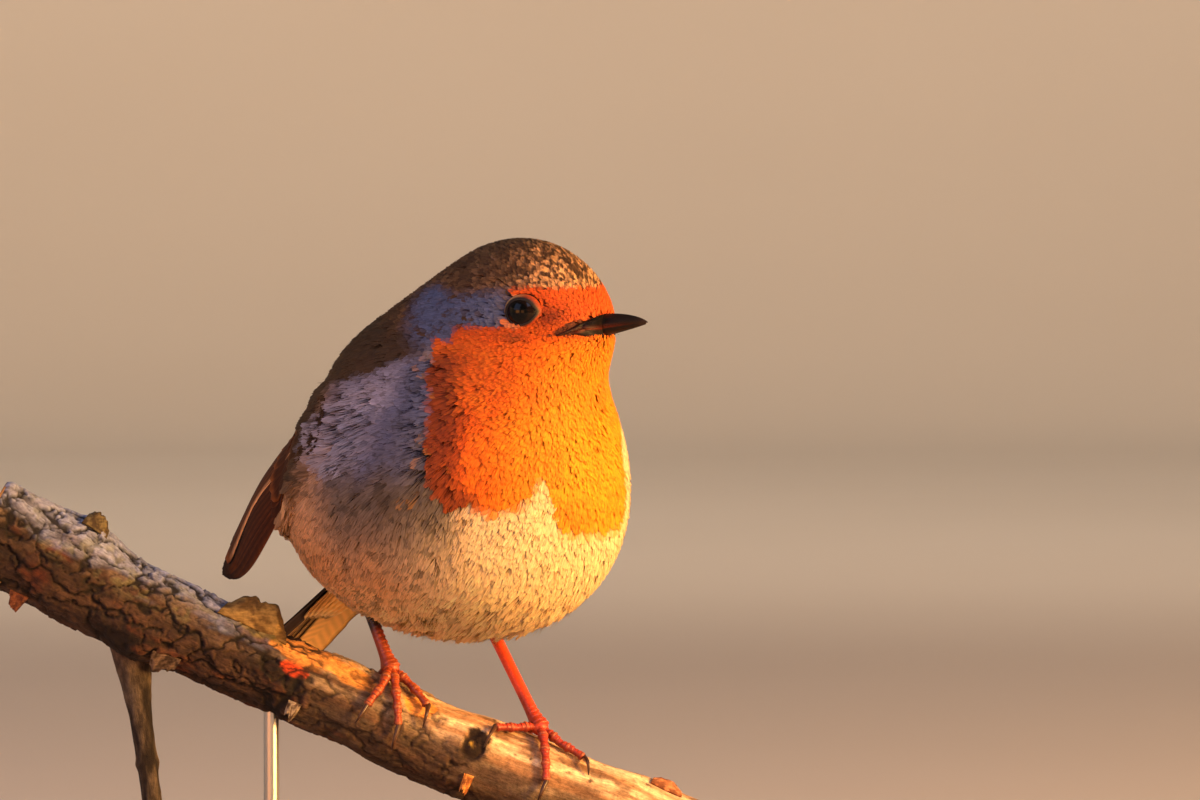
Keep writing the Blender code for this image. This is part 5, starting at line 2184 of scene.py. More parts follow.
@dataclass(frozen=True)
class SawnFinish:
    """Freshly sawn wood: pale and matt, with growth rings round the pith."""

    name: str = "hardwood_sawn"
    ring: float = 1.1  # millimetres between growth rings

    def make(self) -> bpy.types.Material:
        """Makes the material; the rings follow the piece's own map, which is in units of 10 mm.

        Returns:
            The material.
        """
        made, tree, shader = started(self.name, Roughness=0.75, IOR=1.5)
        spot = add_node(tree, "ShaderNodeUVMap", uv_map="Rings")
        rings = add_node(
            tree, "ShaderNodeTexWave",
            {"Vector": spot.outputs["UV"], "Scale": 10.0 / (20.0 * self.ring), "Distortion": 0.5,
             "Detail": 3.0},
            wave_type="RINGS", rings_direction="Z",
        )
        tinted(tree, shader, rings.outputs["Fac"], ("A8865E", "7E5C3A"))
        raised(tree, shader, rings.outputs["Fac"], (0.3, 0.00008))
        return made


@dataclass(frozen=True)
class Knot:
    """A swelling of the bark: where it is along and round the branch, its height and its reach."""

    reach: float
    degrees: float
    height: float
    length: float
    half_angle: float


@dataclass(frozen=True)
class Curl:
    """A loose curl of bark: where it grows, how long and high it is, and how far round it bends."""

    reach: float
    degrees: float
    length: float
    turn: float
    height: float
    light: str
    dark: str
    thickness: float = 0.35


@dataclass
class Perch:
    """The cut length of an old branch, with its bark, side twig, lichen and sawn ends."""

    turn: float = -40.0
    forward: float = 1.3
    stations: tuple = (
        (-89.0, 84.5, 9.8), (-67.5, 73.0, 8.6), (-48.5, 63.7, 7.8), (-30.0, 54.8, 7.6),
        (-4.3, 43.6, 8.0), (16.6, 35.6, 7.8), (46.0, 24.8, 7.2),
    )
    knots: tuple[Knot, ...] = (
        Knot(-74.0, -5.0, 2.2, 5.0, 38.0),
        Knot(2.5, 72.0, 1.3, 4.0, 26.0),
        Knot(-58.0, 150.0, 1.6, 6.0, 40.0),
        Knot(-22.0, 20.0, 0.5, 4.0, 30.0),
        Knot(31.0, -60.0, 1.0, 6.0, 40.0),
    )
    wave: float = 0.18
    rib: float = 0.15
    plate: float = 0.7  # how far the bark's plates stand up
    crack: float = 0.6  # how deep its cracks are
    sides: int = 150
    rings: int = 460
    twig_from: tuple[float, float] = (-62.0, 66.0)
    twig_to: tuple[float, float] = (-56.0, 21.0)
    twig_radius: float = 2.3
    curls: tuple[Curl, ...] = (
        Curl(-41.0, 42.0, 13.0, -36.0, 3.4, "A07F45", "5E4420"),
        Curl(-72.5, 22.0, 5.0, -26.0, 1.8, "7A6A44", "3E3020"),
        Curl(-85.5, 140.0, 7.0, 26.0, 2.2, "7A5A3C", "3A281A"),
        Curl(-78.5, 146.0, 3.2, 26.0, 2.0, "9A5A34", "5A2E1A"),
        Curl(37.0, 22.0, 6.0, -30.0, 0.9, "D89060", "8A5030"),
        Curl(3.4, 108.0, 1.8, 26.0, 1.0, "F0A050", "A86030"),
        Curl(-52.0, 128.0, 5.0, 30.0, 1.0, "7A6250", "3A2A1E"),
        Curl(-29.0, 112.0, 2.4, 22.0, 0.9, "A8957C", "5A4634"),
    )
    heart: tuple[float, float] = (2.5, 72.0)  # the reach and degrees of the large knot's rotten middle
    girth: float = 8.0  # the radius of the plain rod on which the bark's unevenness is worked out
    twig_girth: float = 2.4
    twig_length: float = 46.0
    grain: Grain = Grain(77)

    def axes(self, reach: np.ndarray) -> tuple[np.ndarray, np.ndarray, np.ndarray, np.ndarray]:
        """The branch's middle, its upward and forward directions, and its radius at each reach.

        Args:
            reach: Millimetres along the branch from its middle.

        Returns:
            The four, each with a row or a number for every reach.
        """
        table = np.array(self.stations)
        share = np.interp(reach, table[:, 0], np.linspace(0.0, 1.0, len(table)))
        here, step = rail(table, share), 0.002
        ahead = rail(table, share + step) - rail(table, share - step)
        turn = math.radians(self.turn)
        along = np.array((math.cos(turn), math.sin(turn), 0.0))
        front = np.array((math.sin(turn), -math.cos(turn), 0.0))
        tangent = unit(along * ahead[:, :1] + np.array((0.0, 0.0, 1.0)) * ahead[:, 1:2])
        above = np.cross(tangent, front)
        above *= np.sign(above[:, 2:])
        middle = along * reach[:, None] + front * self.forward + np.array((0.0, 0.0, 1.0)) * here[:, 1:2]
        return middle, above, np.broadcast_to(front, middle.shape), here[:, 2]

    def surface(self, reach: np.ndarray, degrees: np.ndarray, height: np.ndarray | float = 0.0) -> np.ndarray:
        """Places on or above the wood's main form.

        Args:
            reach: Millimetres along the branch.
            degrees: Angles from the top toward the front.
            height: Millimetres above the bark.

        Returns:
            One place for each.
        """
        reach, degrees = np.broadcast_arrays(np.asarray(reach, float), np.asarray(degrees, float))
        middle, above, front, radius = self.axes(reach)
        angle = np.radians(degrees)
        size = radius + self.wave * np.sin(reach * 0.43 + 2.0 * np.sin(angle)) + height
        size = size + self.rib * np.sin(3.0 * angle + reach * 0.21)
        for knot in self.knots:
            turned = (degrees - knot.degrees + 180.0) % 360.0 - 180.0
            away = ((reach - knot.reach) / knot.length) ** 2 + (turned / knot.half_angle) ** 2
            size = size + knot.height * np.exp(-away)
        return middle + above * (np.cos(angle) * size)[:, None] + front * (np.sin(angle) * size)[:, None]

    def spread(self, reach: np.ndarray, degrees: np.ndarray, size: float = 0.0) -> np.ndarray:
        """The bark rolled up on a plain rod, of the bark's own girth unless a size is given."""
        angle, size = np.radians(degrees), size or self.girth
        return np.stack((reach, size * np.cos(angle), size * np.sin(angle)), axis=1)

    def bark_map(self, reach: np.ndarray, degrees: np.ndarray, girth: float) -> np.ndarray:
        """The bark rolled out flat, in units of 10 mm."""
        return np.stack((reach / 10.0, degrees * girth * math.pi / 1800.0), axis=1)

    def from_heart(self, reach: np.ndarray, degrees: np.ndarray, size: float) -> np.ndarray:
        """How far each point is from the large knot's middle, in millimetres along for a size of 1."""
        return np.hypot((reach - self.heart[0]) / size, (degrees - self.heart[1]) / 15.0)

    def relief(self, reach: np.ndarray, degrees: np.ndarray) -> tuple[np.ndarray, np.ndarray]:
        """The bark's plates and cracks.

        Args:
            reach: Millimetres along the branch.
            degrees: Angles from the top toward the front.

        Returns:
            The height over the main form, and how deep in a crack each point is, from 0 to 1.
        """
        flat = self.spread(reach, degrees)
        ragged = np.stack([self.grain.layers(flat + 31.0 * i, 3.0, 3) for i in range(3)], axis=1)
        rugged = self.rugged(reach, degrees)
        speck = Grain(67).layers(flat, (1.0, 0.5, 0.5), 2)
        edge, number = self.grain.cells(flat + 2.4 * ragged, (11.0, 4.4, 4.4))
        fine_edge, fine_number = Grain(91).cells(flat + 1.5 * ragged, (3.6, 1.7, 1.7))
        plates = number - 0.5 + 0.45 * (fine_number - 0.5) + 0.25 * ragged[:, 0]
        seam = np.maximum(ramp(0.10, 0.02, edge), 0.35 * ramp(0.12, 0.02, fine_edge))
        split = np.exp(-(((reach + 30.2 + 0.02 * (degrees - 90.0)) / 0.7) ** 2))
        gap = 1.3 * split * ramp(66.0, 76.0, degrees)
        crack = np.clip(np.maximum(seam * rugged, gap), 0.0, 1.0)
        fine = 0.42 * self.grain.layers(flat, (4.0, 1.3, 1.3), 4) + 0.12 * speck
        fibre = 0.12 * Grain(8).layers(flat, (9.0, 0.8, 0.8), 2) * (1.0 - rugged)
        high = (self.plate * plates + fine) * (0.15 + 0.85 * rugged) - self.crack * crack
        return high + fibre, crack

    def rugged(self, reach: np.ndarray, degrees: np.ndarray) -> np.ndarray:
        """How whole the old bark still is: 1 at the thick end, 0 on the weathered wood of the thin end.

        Args:
            reach: Millimetres along the branch from its middle.
            degrees: The angle round the branch.

        Returns:
            The share at each place.
        """
        flat = self.spread(reach, degrees)
        edge = 9.0 * self.grain.layers(flat, (9.0, 5.0, 5.0), 3) + 0.10 * (np.abs(degrees) - 60.0)
        return ramp(1.5, -1.5, reach - edge + 4.0) * (1.0 - 0.45 * ramp(-30.0, -27.0, reach))

    def patches(self, spots: tuple, reach: np.ndarray, degrees: np.ndarray, size: float) -> np.ndarray:
        """Ragged patches on the bark, each given by its reach, degrees, half-length and half-angle.

        Args:
            spots: The patches.
            reach: Millimetres along the branch.
            degrees: Angles from the top toward the front.
            size: How coarse their edges are.

        Returns:
            How much each point is in a patch.
        """
        flat, total = self.spread(reach, degrees), np.zeros(len(reach))
        uneven = 0.6 * self.grain.layers(flat, (2.0 * size, size, size), 4)
        for at, degree, length, half in spots:
            turned = (degrees - degree + 180.0) % 360.0 - 180.0
            away = np.hypot((reach - at) / length, turned / half)
            total = np.maximum(total, ramp(1.0, 0.8, away + uneven))
        return total

    def lichen(self, reach: np.ndarray, degrees: np.ndarray) -> np.ndarray:
        """Where a yellow-green crust grows: one large patch on the upper edge and a few small ones."""
        spots = ((-41.0, 26.0, 6.5, 24.0), (-70.0, -60.0, 5.0, 30.0), (10.0, -80.0, 6.0, 30.0))
        return self.patches(spots, reach, degrees, 2.0)

    def bare(self, reach: np.ndarray, degrees: np.ndarray) -> np.ndarray:
        """Where the bark has come off and the orange-tan wood below it shows, painted bright orange partly as
        a pool of sunlight.

        Args:
            reach: Millimetres along the branch from its middle.
            degrees: The angle round the branch.

        Returns:
            The bare wood's share at each place, from 0 to 1.
        """
        spots = ((-29.0, 34.0, 8.5, 26.0), (-22.0, 40.0, 6.0, 18.0), (-31.5, 70.0, 2.4, 12.0),
                 (-36.0, 48.0, 1.6, 6.0), (-9.0, 40.0, 3.4, 18.0), (-12.0, -60.0, 8.0, 30.0))
        return self.patches(spots, reach, degrees, 2.5)

    def tones(
        self, reach: np.ndarray, degrees: np.ndarray, crack: np.ndarray, high: np.ndarray
    ) -> np.ndarray:
        """The bark's colour at each point.

        Args:
            reach: Millimetres along the branch.
            degrees: Angles from the top toward the front.
            crack: How deep in a crack each point is.
            high: The bark's height over the main form.

        Returns:
            Linear colours, one a row.
        """
        flat = self.spread(reach, degrees)
        cloud = self.grain.layers(flat, (12.0, 5.0, 5.0), 4)
        speck = Grain(88).layers(flat, 1.4, 3)
        flaky = Grain(29).layers(flat, (5.0, 1.8, 1.8), 4)
        rusty = Grain(40).layers(flat, (7.0, 3.0, 3.0), 3)
        bark = mixed("1E130C", "4C3526", ramp(-0.5, 0.5, cloud + 0.8 * flaky))
        bark = mixed(bark, "6E3418", 0.55 * ramp(0.1, 0.5, rusty))
        dry = ramp(0.0, 0.5, flaky + 0.6 * high)
        bark = mixed(bark, "7C6A58", 0.7 * dry * ramp(95.0, 55.0, degrees))
        # Painted light: a pale blue sky highlight along the top of the branch's thick end.
        upper = ramp(62.0, 22.0, np.abs(degrees - 8.0) + 30.0 * flaky)
        bark = mixed(bark, "A2A9C6", 0.85 * upper * ramp(-34.0, -46.0, reach + 14.0 * cloud))
        green = ramp(0.2, 0.5, speck + 0.8 * cloud) * ramp(-35.0, -50.0, reach) * ramp(95.0, 60.0, degrees)
        bark = mixed(bark, "74744C", 0.45 * green)
        grey = mixed("967A62", "4E3C30", ramp(-0.3, 0.4, flaky + 0.5 * speck))
        bark = mixed(bark, grey, 0.75 * ramp(-31.0, -28.0, reach) * ramp(88.0, 62.0, degrees + 20.0 * cloud))
        streak = Grain(61).layers(flat, (14.0, 1.3, 1.3), 3)
        # The weathered wood's pale cream is partly its own and partly painted sunlight.
        wood = mixed("C08E62", "FFDDB0", ramp(-0.45, 0.3, streak))
        wood = mixed(wood, "6E4A30", 0.75 * ramp(0.15, 0.45, Grain(44).layers(flat, (6.0, 2.0, 2.0), 3)))
        wood = mixed(wood, "3A2A20", 0.8 * ramp(0.42, 0.6, speck))
        # Painted shade: the wood turns dark brown from the front's middle down round the underside.
        wood = mixed(wood, "483428", 0.9 * ramp(55.0, 95.0, degrees + 25.0 * cloud))
        tone = mixed(wood, bark, self.rugged(reach, degrees))
        # Painted light: the bare wood is a bright orange that is partly its own colour, partly a pool of
        # sunlight.
        bare_wood_and_sunlight = mixed("FFAC54", "F0501C", ramp(56.0, 66.0, degrees) * ramp(-20.0, -28.0, reach))
        tone = mixed(tone, bare_wood_and_sunlight * (1.0 + 0.3 * speck[:, None]), 0.92 * self.bare(reach, degrees))
        # Painted shade: the bark's hollows are darker.
        tone = mixed(tone, "2E2018", 0.5 * ramp(-0.1, -0.45, high))
        moss = self.lichen(reach, degrees)
        tone = mixed(tone, mixed("5E5228", "9A8848", ramp(-0.4, 0.5, speck)), 0.8 * moss)
        # Painted shade: the cracks are drawn near black.
        tone = mixed(tone, "120C08", 0.92 * crack)
        heart = self.from_heart(reach, degrees, 1.6) + 0.9 * speck
        tone = mixed(tone, "2A1C14", ramp(1.9, 1.4, heart))
        return mixed(tone, "C9A040", ramp(0.45, 0.2, heart))

    def bark(self) -> bpy.types.Mesh:
        """The branch itself.

        Returns:
            The mesh.
        """
        first, last = self.stations[0][0], self.stations[-1][0]

        def place(share: np.ndarray, angle: np.ndarray) -> tuple:
            """Each corner's place on the bark, rounded off a little at the sawn ends.

            Args:
                share: The share along, from 0 to 1.
                angle: The angle round it in radians.

            Returns:
                The corners and the facts.
            """
            reach, degrees = first + (last - first) * share, np.degrees(angle)
            high, crack = self.relief(reach, degrees)
            moss = self.lichen(reach, degrees)
            speck = Grain(88).layers(self.spread(reach, degrees), 1.6, 2)
            bare = self.bare(reach, degrees)
            high = high * (1.0 - 0.7 * bare) + moss * (0.35 + 0.4 * speck) - 0.25 * bare
            hole = self.from_heart(reach, degrees, 1.7) + 0.4 * speck
            high = high - 0.9 * ramp(1.5, 0.9, hole) + 0.35 * ramp(0.7, 0.3, hole)
            worn = np.minimum(share, 1.0 - share) * (last - first)
            high = high - 0.5 * ramp(0.8, 0.0, worn)
            return self.surface(reach, degrees, high), (reach, degrees, crack, high)

        shape, facts = bent_rod(place, self.sides, self.rings)
        spots = self.bark_map(*facts[:2], self.girth)
        return finished("perch", shape, self.tones(*facts), Bark=spots)

    def twig(self) -> bpy.types.Mesh:
        """The side twig, thick where it leaves the branch and cut off below.

        Returns:
            The mesh.
        """
        ends = [self.axes(np.array([reach]))[0][0] for reach, _ in (self.twig_from, self.twig_to)]
        for end, (_, height) in zip(ends, (self.twig_from, self.twig_to)):
            end[2] = height
        start, end = ends
        middle = start + (end - start) * 0.45 + np.cross(start - end, (0.0, 0.0, 1.0)) * 0.02

        def size(share: np.ndarray, angle: np.ndarray) -> tuple:
            """The twig's radius, with its own fine bark.

            Args:
                share: The share along, from 0 to 1.
                angle: The angle round it in radians.

            Returns:
                The radius and the facts.
            """
            plain = self.twig_radius * (1.0 + 0.9 * np.exp(-((share / 0.28) ** 2)) - 0.25 * share)
            reach, degrees = share * self.twig_length, np.degrees(angle)
            flat = self.spread(reach + 200.0, degrees, self.twig_girth)
            rough = self.grain.layers(flat, (4.0, 1.3, 1.3), 3)
            node = 0.3 * np.exp(-(((share - 0.63) / 0.02) ** 2))
            return plain + 0.22 * rough + node, (reach, degrees, rough)

        shape, (reach, degrees, rough) = tube((start, middle, end), size, 56, 150, top=(1.0, 0.0, 0.0))
        tone = mixed("1C120C", "5A4C3E", ramp(-0.45, 0.5, rough))
        tone = mixed(tone, "4A2C1A", 0.7 * ramp(14.0, 0.0, reach))
        return finished("perch_twig", shape, tone, Bark=self.bark_map(reach, degrees, self.twig_girth))

    def flakes(self) -> bpy.types.Mesh:
        """Loose curls of bark that stand off the branch, ragged at their free edge.

        Returns:
            The mesh.
        """
        parts, tones = [], []
        blank = sheet(40, 16)
        u, v = blank.corners[:, 0] + 0.5, blank.corners[:, 1] + 0.5
        outer = blank.corners[:, 2] > 0.5 * blank.corners[:, 2].max()
        still = np.zeros_like(u)
        for number, flake in enumerate(self.curls):
            along = np.stack((u * 9.0 + 20.0 * number, still, still), axis=1)
            ragged = 1.0 + 0.45 * self.grain.layers(along, 2.0, 3)
            reach = flake.reach + (u - 0.5) * flake.length * (1.0 - 0.15 * v)
            degrees = flake.degrees + flake.turn * v * ragged
            grain = self.grain.layers(np.stack((u * 9.0, v * 5.0, still), axis=1) + 9.0 * number, 1.4, 3)
            crest = np.clip(np.sin(np.pi * np.clip(u, 0.03, 0.97)) * 1.6, 0.0, 1.0)
            curl = flake.height * ragged * v**1.4 * crest
            height = 0.1 + curl + 0.22 * grain * v + outer * flake.thickness * (1.0 - 0.5 * v)
            part = Template(self.surface(reach, degrees, height), blank.triangles)
            parts.append(part if part.volume() >= 0.0 else Template(part.corners, part.triangles[:, ::-1]))
            tone = mixed(flake.light, flake.dark, ramp(0.35, -0.35, grain))
            # Painted shade: each curl's underside is a darker copy of its colour.
            tones.append(mixed(tone, tone * 0.55, (~outer) * 0.8))
        shape = Template.joined(parts)
        return finished("perch_flakes", shape, np.vstack(tones), Bark=shape.corners[:, [0, 2]] / 10.0)

    def sawn(self) -> bpy.types.Mesh:
        """Thin crowned discs over both sawn ends.

        Returns:
            The mesh.
        """
        parts, spots = [], []
        for reach, way in ((self.stations[0][0], -1.0), (self.stations[-1][0], 1.0)):
            bm = bmesh.new()
            bmesh.ops.create_circle(bm, cap_ends=True, segments=96, radius=1.0)
            for _ in range(3):
                middle = [face for face in bm.faces if len(face.verts) > 4]
                bmesh.ops.inset_region(bm, faces=middle, thickness=0.25, use_even_offset=False)
            bmesh.ops.solidify(bm, geom=bm.faces[:], thickness=-0.1)
            bmesh.ops.recalc_face_normals(bm, faces=bm.faces)
            disc = Template.taken_from(bm)
            out = np.hypot(disc.corners[:, 0], disc.corners[:, 1])
            degrees = np.degrees(np.arctan2(disc.corners[:, 1], disc.corners[:, 0]))
            at = np.full(len(out), reach)
            rim = self.surface(at, degrees, -0.35)
            middle = self.axes(at)[0]
            along = unit(np.cross(*(self.axes(at)[i] for i in (1, 2))))
            along *= np.sign(along @ np.array((1.0, -1.0, 0.0)))[:, None] * way
            deep = (0.12 * (1.0 - out**2) + np.where(disc.corners[:, 2] > 0.05, 0.12, -0.3))[:, None]
            places = middle + (rim - middle) * out[:, None] + along * deep
            parts.append(Template(places, disc.triangles))
            radius = np.linalg.norm(rim - middle, axis=1) * out / 10.0
            angle = np.radians(degrees)
            spots.append(np.stack((radius * np.cos(angle), radius * np.sin(angle)), axis=1))
        return finished("perch_sawn_ends", Template.joined(parts), Rings=np.vstack(spots))

    def dress(self, model: Model) -> None:
        """Adds the branch, its loose bark, its twig and its sawn ends.

        Args:
            model: The model that takes the pieces.
        """
        bark = BarkFinish().make()
        model.add(self.flakes(), bark, "bark")
        model.add(self.bark(), bark, "bark", ("perch",))
        model.add(self.twig(), bark, "bark", ("perch_twig",))
        model.add(self.sawn(), SawnFinish().make(), "bark")


# ---------------------------------------------------------------- legs
@dataclass(frozen=True)
class ScaleFinish:
    """Horny leg scales: smooth, slightly waxy, letting a little warm light through."""

    name: str = "leg_scale_waxy"
    crease: float = 1.0 / 2.6  # millimetres between creases, drawn coarse so that they show

    def make(self) -> bpy.types.Material:
        """Makes the material; its colours are the piece's own, with a fine net of creases.

        Returns:
            The material.
        """
        made, tree, shader = started(
            self.name, Roughness=0.42, IOR=1.5, Subsurface_Weight=0.15, Subsurface_Scale=0.0008,
            Subsurface_Radius=(1.0, 0.35, 0.15),
        )
        place = add_node(tree, "ShaderNodeTexCoord")
        net = add_node(
            tree, "ShaderNodeTexVoronoi",
            {"Vector": place.outputs["Object"], "Scale": 1.0 / (self.crease * MM)},
        )
        figured(tree, shader, net.outputs["Distance"], (0.0, 0.6, 1.1, 0.8), (-0.35, 0.00004))
        return made


@dataclass(frozen=True)
class Toe:
    """A toe's route over the bark: reach and degrees of its middle and end, then of its claw's tip."""

    middle: tuple[float, float]
    end: tuple[float, float]
    claw: tuple[float, float]
    knuckles: int


@dataclass
class Leg:
    """A bare tarsus and a foot that grips the branch, with four toes and their claws."""

    side: Side
    perch: Perch
    reach: float
    lean: tuple[float, float, float]
    toes: tuple[Toe, ...]
    # light and dark are the lit and shaded colours of tarsus and toes: painted light on their tops and
    # fronts, painted shade on their sides and undersides.
    light: str
    dark: str
    # the colour at the tarsus' top: on the right leg a painted shadow under the belly feathers
    top_shade: str
    plain: float  # the share of the tarsus, from the foot up, on which the plates stand out
    degrees: float = 8.0
    length: float = 25.0
    radius: float = 1.05
    foot: float = 1.7
    toe: float = 0.82
    claw: float = 0.46
    gap: float = 0.3

    def at(self, reach: float, degrees: float, height: float) -> np.ndarray:
        """One place over the bark."""
        return self.perch.surface(np.array([reach]), np.array([degrees]), height)[0]

    def toe_route(self, toe: Toe) -> list[np.ndarray]:
        """The toe's points from the foot to its end.

        Args:
            toe: The toe's sizes.

        Returns:
            The points, from the foot outward.
        """
        rest = 0.95 + self.gap * 1.3
        quarter = (toe.middle[0] * 0.5, (self.degrees + toe.middle[1]) / 2.0)
        half = tuple((a + b) / 2.0 for a, b in zip(toe.middle, toe.end))
        return [
            self.at(self.reach, self.degrees, self.foot + 0.35),
            self.at(self.reach + quarter[0], quarter[1], rest + 0.5),
            self.at(self.reach + toe.middle[0], toe.middle[1], rest + 0.1),
            self.at(self.reach + half[0], half[1], rest + 0.1),
            self.at(self.reach + toe.end[0], toe.end[1], rest),
        ]

    def toe_shape(self, toe: Toe, number: int) -> tuple[Template, np.ndarray]:
        """A toe with its knuckles, its overlapping scales above and its soft pads below.

        Args:
            toe: The toe.
            number: Its number, which shifts its colours.

        Returns:
            The shape, and its colours.
        """

        def size(share: np.ndarray, angle: np.ndarray) -> tuple:
            """The toe's radius.

            Args:
                share: The share along, from 0 to 1.
                angle: The angle round it in radians.

            Returns:
                The radius and the facts.
            """
            phase = share * (toe.knuckles + 0.15)
            swollen = np.cos((phase - np.round(phase)) * math.tau) ** 3
            rounding = np.sqrt(np.clip(1.0 - (np.maximum(share - 0.93, 0.0) / 0.07) ** 2, 0.06, 1.0))
            above = np.maximum(np.sin(angle), 0.0)
            scale = (share * toe.knuckles * 4.0) % 1.0
            scute = 0.22 * above * (scale - 0.5) - 0.1 * above * np.exp(-((scale / 0.14) ** 2))
            pad = 0.08 * np.maximum(-np.sin(angle), 0.0) * np.cos(phase * math.tau * 2.0)
            radius = self.toe * (1.1 - 0.22 * share) * (1.0 + 0.2 * swollen + scute + pad) * rounding
            return radius, (share, scale, swollen, above)

        route = self.toe_route(toe)
        middle = np.mean(route, axis=0)
        top = unit(middle - self.perch.axes(np.array([self.reach]))[0][0])
        shape, (share, scale, swollen, above) = tube(route, size, 26, 110, top)
        # Painted light: the toe's top is lighter and its knuckles pale on top, as lit ridges; its sides and
        # underside are darker as painted shade.
        tone = mixed(self.dark, self.light, 0.1 + 0.65 * above)
        tone = mixed(tone, "C98A5A", 0.45 * np.clip(swollen, 0.0, 1.0) * above)
        tone = mixed(tone, linear(self.dark) * 0.5, 0.85 * np.exp(-((scale / 0.22) ** 2)) * above)
        tone = mixed(tone, "4A2A1C", 0.5 * ramp(0.93, 1.0, share))
        return shape, tone * (1.0 - 0.04 * number)

    def shin(self) -> tuple[Template, np.ndarray]:
        """The tarsus: a slim shaft, swollen at both ends, with long plates down its front.

        Returns:
            The shape and its colours.
        """
        joint = self.at(self.reach, self.degrees, self.foot + self.gap + 0.1)
        ankle = joint + unit(np.array(self.lean)) * (self.length + 0.6)

        def size(share: np.ndarray, angle: np.ndarray) -> tuple:
            """The tarsus' radius.

            Args:
                share: The share along, from 0 to 1.
                angle: The angle round it in radians.

            Returns:
                The radius and the facts.
            """
            scale = (share * 24.0 + 0.2) % 1.0
            front = np.maximum(np.sin(angle), 0.0)
            rough = ramp(self.plain, self.plain - 0.12, share)
            scute = (0.01 + 0.26 * rough) * front * (0.5 - scale)
            scute = scute - 0.06 * front * np.exp(-(((scale - 1.0) / 0.08) ** 2))
            flare = 0.35 * (2.0 * share - 1.0) ** 4 + 0.35 * np.exp(-((share / 0.06) ** 2))
            radius = self.radius * (1.0 + flare + scute) * (1.0 + 0.10 * np.sin(angle) ** 2)
            return radius, (share, scale, front)

        stations = (joint, (joint + ankle) / 2.0, ankle)
        shape, (share, scale, front) = tube(stations, size, 36, 150, top=(0.2, -1.0, 0.2))
        # Painted light: the tarsus' front is lighter than its back.
        tone = mixed(self.dark, self.light, 0.25 + 0.75 * front)
        lines = ramp(self.plain, self.plain - 0.12, share) * np.exp(-(((scale - 1.0) / 0.2) ** 2))
        tone = mixed(tone, linear(self.dark) * 0.5, 0.8 * front * lines)
        tone = mixed(tone, "7A3A20", 0.5 * ramp(0.10, 0.0, share))
        # Painted shadow: the tarsus' top takes its own colour, dark on the right leg as the shade under the
        # belly feathers.
        return shape, mixed(tone, self.top_shade, ramp(0.24, 0.36, share))

    def ankle_ball(self) -> tuple[Template, np.ndarray]:
        """The foot's own rounded middle, from which the toes spread.

        Returns:
            The shape and its colours.
        """
        bm = bmesh.new()
        bmesh.ops.create_icosphere(bm, subdivisions=4, radius=self.foot * 0.98)
        ball = Template.taken_from(bm)
        lumps = 1.0 + 0.06 * Grain(12).layers(ball.corners + 40.0, 1.2, 2)
        middle = self.at(self.reach, self.degrees, self.foot + self.gap + 0.1)
        tone = mixed(self.dark, self.light, ramp(0.9, 1.08, lumps))
        return Template(middle + ball.corners * lumps[:, None], ball.triangles), tone

    def claw_size(self, share: np.ndarray, angle: np.ndarray) -> tuple:
        """A claw's radius, larger from top to bottom than across."""
        deep = 1.0 + 0.25 * np.sin(angle) ** 2
        return (self.claw * (1.0 - share) ** 0.7 + 0.05) * deep, (share, np.sin(angle))

    def claws(self) -> tuple[Template, np.ndarray]:
        """The four claws: curved, flattened at the sides, dark above and paler below.

        Returns:
            The shape and its colours.
        """
        parts, tones = [], []
        for toe in self.toes:
            lean = tuple((a + b) / 2.0 for a, b in zip(toe.end, toe.claw))
            first = self.at(self.reach + toe.end[0], toe.end[1], 0.95 + self.gap * 1.3)
            middle = self.at(self.reach + lean[0], lean[1], 0.95 + 1.0)
            tip = self.at(self.reach + toe.claw[0], toe.claw[1], 0.55)
            top = unit(middle - self.perch.axes(np.array([self.reach + toe.end[0]]))[0][0])
            start = first - unit(middle - first) * 0.35
            shape, (share, high) = tube((start, middle, tip), self.claw_size, 20, 44, top)
            parts.append(shape)
            tone = mixed("B08058", "4A3020", ramp(-0.4, 0.6, high))
            tones.append(mixed(tone, "1E140F", 0.6 * ramp(0.5, 1.0, share)))
        return Template.joined(parts), np.vstack(tones)

    def dress(self, model: Model, scales: bpy.types.Material, horn: bpy.types.Material) -> None:
        """Adds the tarsus, the foot and the claws.

        Args:
            model: The model that takes the pieces.
            scales: The finish of tarsus and foot.
            horn: The finish of the claws.
        """
        name = self.side.name.lower()
        parts, tones = zip(self.ankle_ball(), *(self.toe_shape(toe, i) for i, toe in enumerate(self.toes)))
        foot = (Template.joined(parts), np.vstack(tones))
        claws = tuple(f"claw_{name}_{number}" for number in (1, 2, 3, 4))
        model.add(finished(f"tarsus_{name}", *self.shin()), scales, "leg", (f"tarsus_{name}",))
        model.add(finished(f"foot_{name}", *foot), scales, "leg", (f"foot_{name}",))
        model.add(finished(f"claws_{name}", *self.claws()), horn, "claw", claws)


RIGHT_TOES = (
    Toe((-0.8, -38.0), (0.6, -88.0), (1.2, -128.0), 2),
    Toe((4.2, 22.0), (8.6, 46.0), (9.2, 74.0), 3),
    Toe((2.6, 48.0), (5.2, 84.0), (5.8, 118.0), 4),
    Toe((-0.2, 46.0), (-1.2, 78.0), (-1.8, 104.0), 3),
)
LEFT_TOES = (
    Toe((-1.6, -38.0), (-0.6, -86.0), (0.4, -126.0), 2),
    Toe((-3.8, 24.0), (-7.6, 40.0), (-8.2, 70.0), 3),
    Toe((2.2, 46.0), (4.2, 82.0), (4.0, 112.0), 4),
    Toe((4.5, 22.0), (9.2, 32.0), (11.0, 54.0), 3),
)


